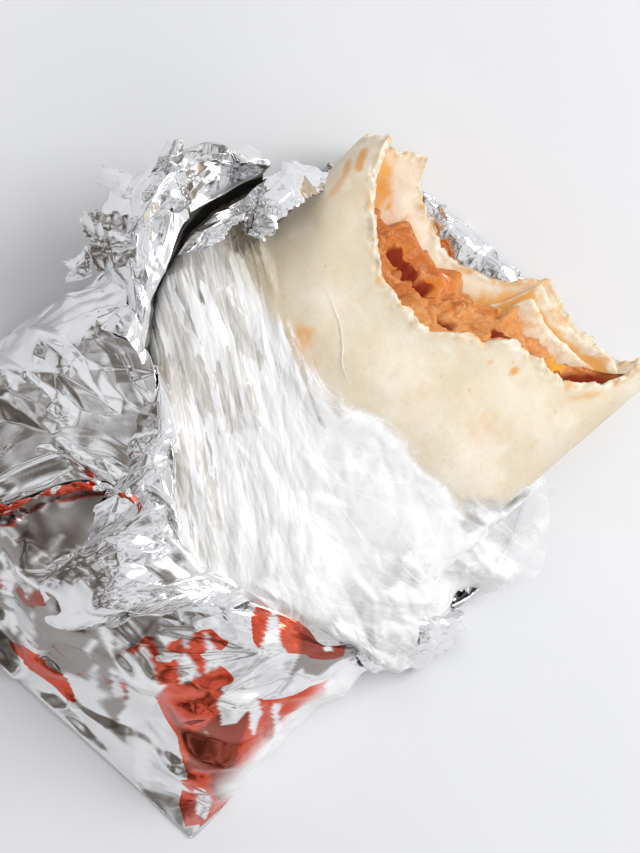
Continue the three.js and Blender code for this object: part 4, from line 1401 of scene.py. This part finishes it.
# the loose film over the crumpled foil on the -Y side, down to the table
skirtLines = [
    [(-41, -12, 45), (-39, -20, 46), (-36, -28, 45), (-33, -36, 41), (-31, -44, 34)],
    [(-33, -17, 44), (-32, -27, 44), (-31, -37, 40), (-30, -45, 32), (-30, -51, 20)],
    [(-24, -22, 43.5), (-24, -35, 41), (-25, -48, 32), (-26, -57, 22), (-28, -61, 10)],
    [(-14, -25, 42), (-13, -39, 37), (-12, -49, 29), (-12, -57, 20), (-13, -61, 12)],
    [(-3, -27, 40), (-2, -40, 34), (-1, -48, 25), (-1, -54, 16), (-2, -57, 8)],
    [(8, -30, 38.5), (9, -41, 32), (10, -50, 23), (10, -59, 15), (9, -65, 5)],
    [(18, -32, 37), (19, -43, 29), (20, -51, 20), (21, -59, 11), (20, -67, 3)],
    [(27, -36, 34), (28, -43, 26), (29, -49, 18), (29, -56, 10), (29, -61, 3)],
    [(33, -38, 27), (34, -42, 21), (35, -46, 14), (35, -50, 8), (35, -53, 3)],
]


def makeFilmSkirt():
    grid = faceUp(netAcross(skirtLines, 0.42))
    grid = tornEdge(grid, 5.0, 9.0, 641)
    creases = [(9, 1.7, 2.2, 1.3), (4.5, 0.9, 2.2, 1.7), (2.2, 0.4, 2.0, 1.2), (1.1, 0.1, 1.0, 0.0)]
    share = np.linspace(0, 1, len(grid))[:, None]
    grid = crumpled(grid, creases, 643, ease(0.0, 0.12, share) * 0.9 + 0.1, lowest=-2.0)
    grid[..., 2] = np.maximum(grid[..., 2], 0.4)
    x, y = grid[..., 0], grid[..., 1]
    veil = 0.62 + 0.3 * softNoise(x, y, 0.0, 11, 645) - 0.4 * ease(6, 18, x) + 0.3 * ease(0.3, 0.0, share)
    veil = veil * (1 - 0.75 * ease(-26, -33, x) * ease(-24, -32, y))     # clear over the print
    outward = ease(0.02, 0.38, share + 0.1 * softNoise(x, y, 3.0, 5, 649))
    veil = (veil + 0.25 * softNoise(x, y, 0.0, 4, 647)) * outward
    marks = {
        "veil": veil, "cross": x + 0.15 * y, "along": y, "layers": filmLayers(x, -y),
        "left": 0 * x + 0.25, "tan": 0 * x, "smudge": 0 * x,
    }
    piece = thinSheet("filmSkirt", grid, 0.15, [clearLook], marks)
    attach(piece, "root")


makeFilmSkirt()


# the rolled front edge of the single clear layer, a thin thread over the bare tortilla
def clearEdgeLine():
    xs, ss = splineThrough(film["clearEdge"], np.linspace(0, 1, 30)).T
    return settled(skin(xs, np.interp(ss, arcRuns, arcAngles), film["grow"]))


def strandTree():     # a thin flat thread along each line of a mesh, narrower at its ends
    group = bpy.data.node_groups.new("filmThreads", "GeometryNodeTree")
    face = group.interface
    face.new_socket("Geometry", in_out="INPUT", socket_type="NodeSocketGeometry")
    for label, kind in (("Width", "Float"), ("Thickness", "Float"), ("Seed", "Int"), ("Finish", "Material")):
        face.new_socket(label, in_out="INPUT", socket_type="NodeSocket" + kind)
    face.new_socket("Geometry", in_out="OUTPUT", socket_type="NodeSocketGeometry")
    tree = Nodes(group)
    given = {socket.name: Wire(tree, socket) for socket in group.nodes.new("NodeGroupInput").outputs}
    line = tree.node("GeometryNodeMeshToCurve", {}, {"Mesh": given["Geometry"]})
    line = tree.node("GeometryNodeCurveSplineType", {"spline_type": "CATMULL_ROM"}, {"Curve": line})
    line = tree.node("GeometryNodeSetSplineResolution", {}, {"Geometry": line, "Resolution": 3})
    line = tree.node("GeometryNodeSetCurveNormal", {"mode": "Z_UP"}, {"Curve": line})
    draw = {2: -0.4, 3: 0.4, "Seed": given["Seed"]}
    lean = tree.node("FunctionNodeRandomValue", {"data_type": "FLOAT"}, draw, 1)
    line = tree.node("GeometryNodeSetCurveTilt", {}, {"Curve": line, "Tilt": lean})
    arch = tree.maths("SINE", tree.node("GeometryNodeSplineParameter", out="Factor") * math.pi)
    taper = tree.node("ShaderNodeMath", {"operation": "MULTIPLY_ADD"}, {0: arch, 1: 0.85, 2: 0.15})
    radius = taper * given["Width"]
    line = tree.node("GeometryNodeSetCurveRadius", {}, {"Curve": line, "Radius": radius})
    ring = tree.node("GeometryNodeCurvePrimitiveCircle", {"mode": "RADIUS"}, {"Resolution": 5, "Radius": 0.5})
    squash = tree.node("ShaderNodeCombineXYZ", {}, {"X": 1.0, "Y": given["Thickness"], "Z": 1.0})
    flat = tree.node("GeometryNodeTransform", {}, {"Geometry": ring, "Scale": squash})
    swept = {"Curve": line, "Profile Curve": flat, "Scale": radius, "Fill Caps": True}
    threads = tree.node("GeometryNodeCurveToMesh", {}, swept)
    real = tree.node("GeometryNodeRealizeInstances", {}, {"Geometry": threads})
    done = tree.node("GeometryNodeSetMaterial", {}, {"Geometry": real, "Material": given["Finish"]})
    tree.end("NodeGroupOutput", "Geometry", done)
    return group


def threadLook():
    look = Look("filmThread")
    grain = look.noise(260, 3, 0.6)
    colour = look.mix(look.mask(grain, 0.35, 0.65), rgb(0.97, 0.97, 0.97), rgb(1.0, 1.0, 1.0))
    alpha = look.mask(look.noise(120, 3, 0.6), 0.3, 0.75) * 0.6 + 0.2
    return look.finish({
        "Base Color": colour, "Roughness": 0.3 + grain * 0.2, "Alpha": alpha, "Specular IOR Level": 0.5,
    })


def makeStrands():
    points = toFrame(clearEdgeLine())
    edges = [(n, n + 1) for n in range(len(points) - 1)]
    guide = bpy.data.meshes.new("filmThreads")
    guide.from_pydata(points.tolist(), edges, [])
    carrier = bpy.data.objects.new("filmThreadGuides", guide)
    bpy.context.scene.collection.objects.link(carrier)
    modifier = carrier.modifiers.new("threads", "NODES")
    modifier.node_group = strandTree()
    values = {
        "Width": film["strandWidth"] / 1000, "Thickness": film["strandThickness"] / film["strandWidth"],
        "Seed": film["strandSeed"], "Finish": threadLook(),
    }
    for item in modifier.node_group.interface.items_tree:
        if item.in_out == "INPUT" and item.name in values:
            modifier[item.identifier] = values[item.name]
    ready = carrier.evaluated_get(bpy.context.evaluated_depsgraph_get())
    mesh = bpy.data.meshes.new_from_object(ready)
    piece = bpy.data.objects.new("filmThreads", mesh)
    bpy.context.scene.collection.objects.link(piece)
    bpy.data.objects.remove(carrier)
    mesh.shade_smooth()
    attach(piece, "root")
    print("film edge:", len(mesh.polygons), "faces")


makeStrands()


# table, light and camera

def makeFloor():
    look = Look("paleTable")
    cloud = look.noise(3.5, 5, 0.6, bend=0.8)
    colour = look.mix(look.mask(cloud, 0.3, 0.75), rgb(0.80, 0.81, 0.83), rgb(0.86, 0.865, 0.88))
    material = look.finish({"Base Color": colour, "Roughness": 0.6})
    half = 1500.0
    corners = [(-half, -half, 0), (half, -half, 0), (half, half, 0), (-half, half, 0)]
    return meshPiece("table", corners, [(0, 1, 2, 3)], [material])


makeFloor()

view = dict(distance=700.0, pictureHigh=221.8, right=(0.757, -0.653), up=(0.653, 0.757))
light = dict(
    patches=2.6, patchScale=4.8, level=0.15, lean=0.45, world=0.775,
    brightSide=(0.78, 0.42, 0.0),
    shades=[
        (0.0, rgb(0.05, 0.045, 0.04)), (0.28, rgb(0.15, 0.13, 0.115)), (0.40, rgb(0.30, 0.265, 0.235)),
        (0.44, rgb(0.50, 0.49, 0.49)), (0.54, rgb(0.66, 0.66, 0.67)), (0.60, rgb(1.03, 1.04, 1.06)),
        (1.0, rgb(1.1, 1.1, 1.12)),
    ],
    keyPower=7.4, keySize=0.6, keyFrom=(0.75, 0.25, 0.75), keyFar=1.1, keyAim=20.0,
)


def imageDirection(right, up, high):     # a direction given as the picture shows it
    x = right * view["right"][0] + up * view["up"][0]
    y = right * view["right"][1] + up * view["up"][1]
    return np.array([x, y, high])


def makeCamera():
    data = bpy.data.cameras.new("overhead")
    data.sensor_fit = "VERTICAL"
    data.angle = 2 * math.atan(view["pictureHigh"] / 2 / view["distance"])
    data.clip_end = 20
    camera = bpy.data.objects.new("overhead", data)
    bpy.context.scene.collection.objects.link(camera)
    camera.location = toFrame([0, 0, view["distance"]])
    camera.rotation_euler = (0, 0, math.atan2(view["right"][1], view["right"][0]))
    bpy.context.scene.camera = camera


def makeWindow():
    data = bpy.data.lights.new("window", "AREA")
    data.energy = light["keyPower"]
    data.size = light["keySize"]
    lamp = bpy.data.objects.new("window", data)
    bpy.context.scene.collection.objects.link(lamp)
    direction = imageDirection(*light["keyFrom"])
    direction = direction / np.linalg.norm(direction)
    lamp.location = toFrame([0, 0, light["keyAim"]]) + direction * light["keyFar"]
    lamp.rotation_euler = Vector(direction).to_track_quat("Z", "Y").to_euler()


def makeWorld():     # a pale studio with a bright side, a dark side and soft patches between
    look = Look("studio", "worlds", "Generated")
    bpy.context.scene.world = look.owner
    bright = imageDirection(*light["brightSide"])
    bright = tuple(light["lean"] * bright / np.linalg.norm(bright))
    sides = {0: look.place, 1: bright}
    toward = look.node("ShaderNodeVectorMath", {"operation": "DOT_PRODUCT"}, sides, "Value")
    much, patches = light["patches"], look.noise(light["patchScale"])
    spread = {0: patches, 1: much, 2: light["level"] - much / 2}
    spread = look.node("ShaderNodeMath", {"operation": "MULTIPLY_ADD"}, spread)
    span = look.node("ShaderNodeMapRange", {}, {"Value": toward + spread, "From Min": -1.0})
    shade = look.node("ShaderNodeValToRGB", {"stops": light["shades"]}, {0: span})
    back = look.node("ShaderNodeBackground", {}, {"Color": shade, "Strength": light["world"]})
    look.end("ShaderNodeOutputWorld", "Surface", back)


makeWorld()
makeWindow()
makeCamera()
bpy.context.scene.view_settings.view_transform = "Standard"
print("light and camera set")
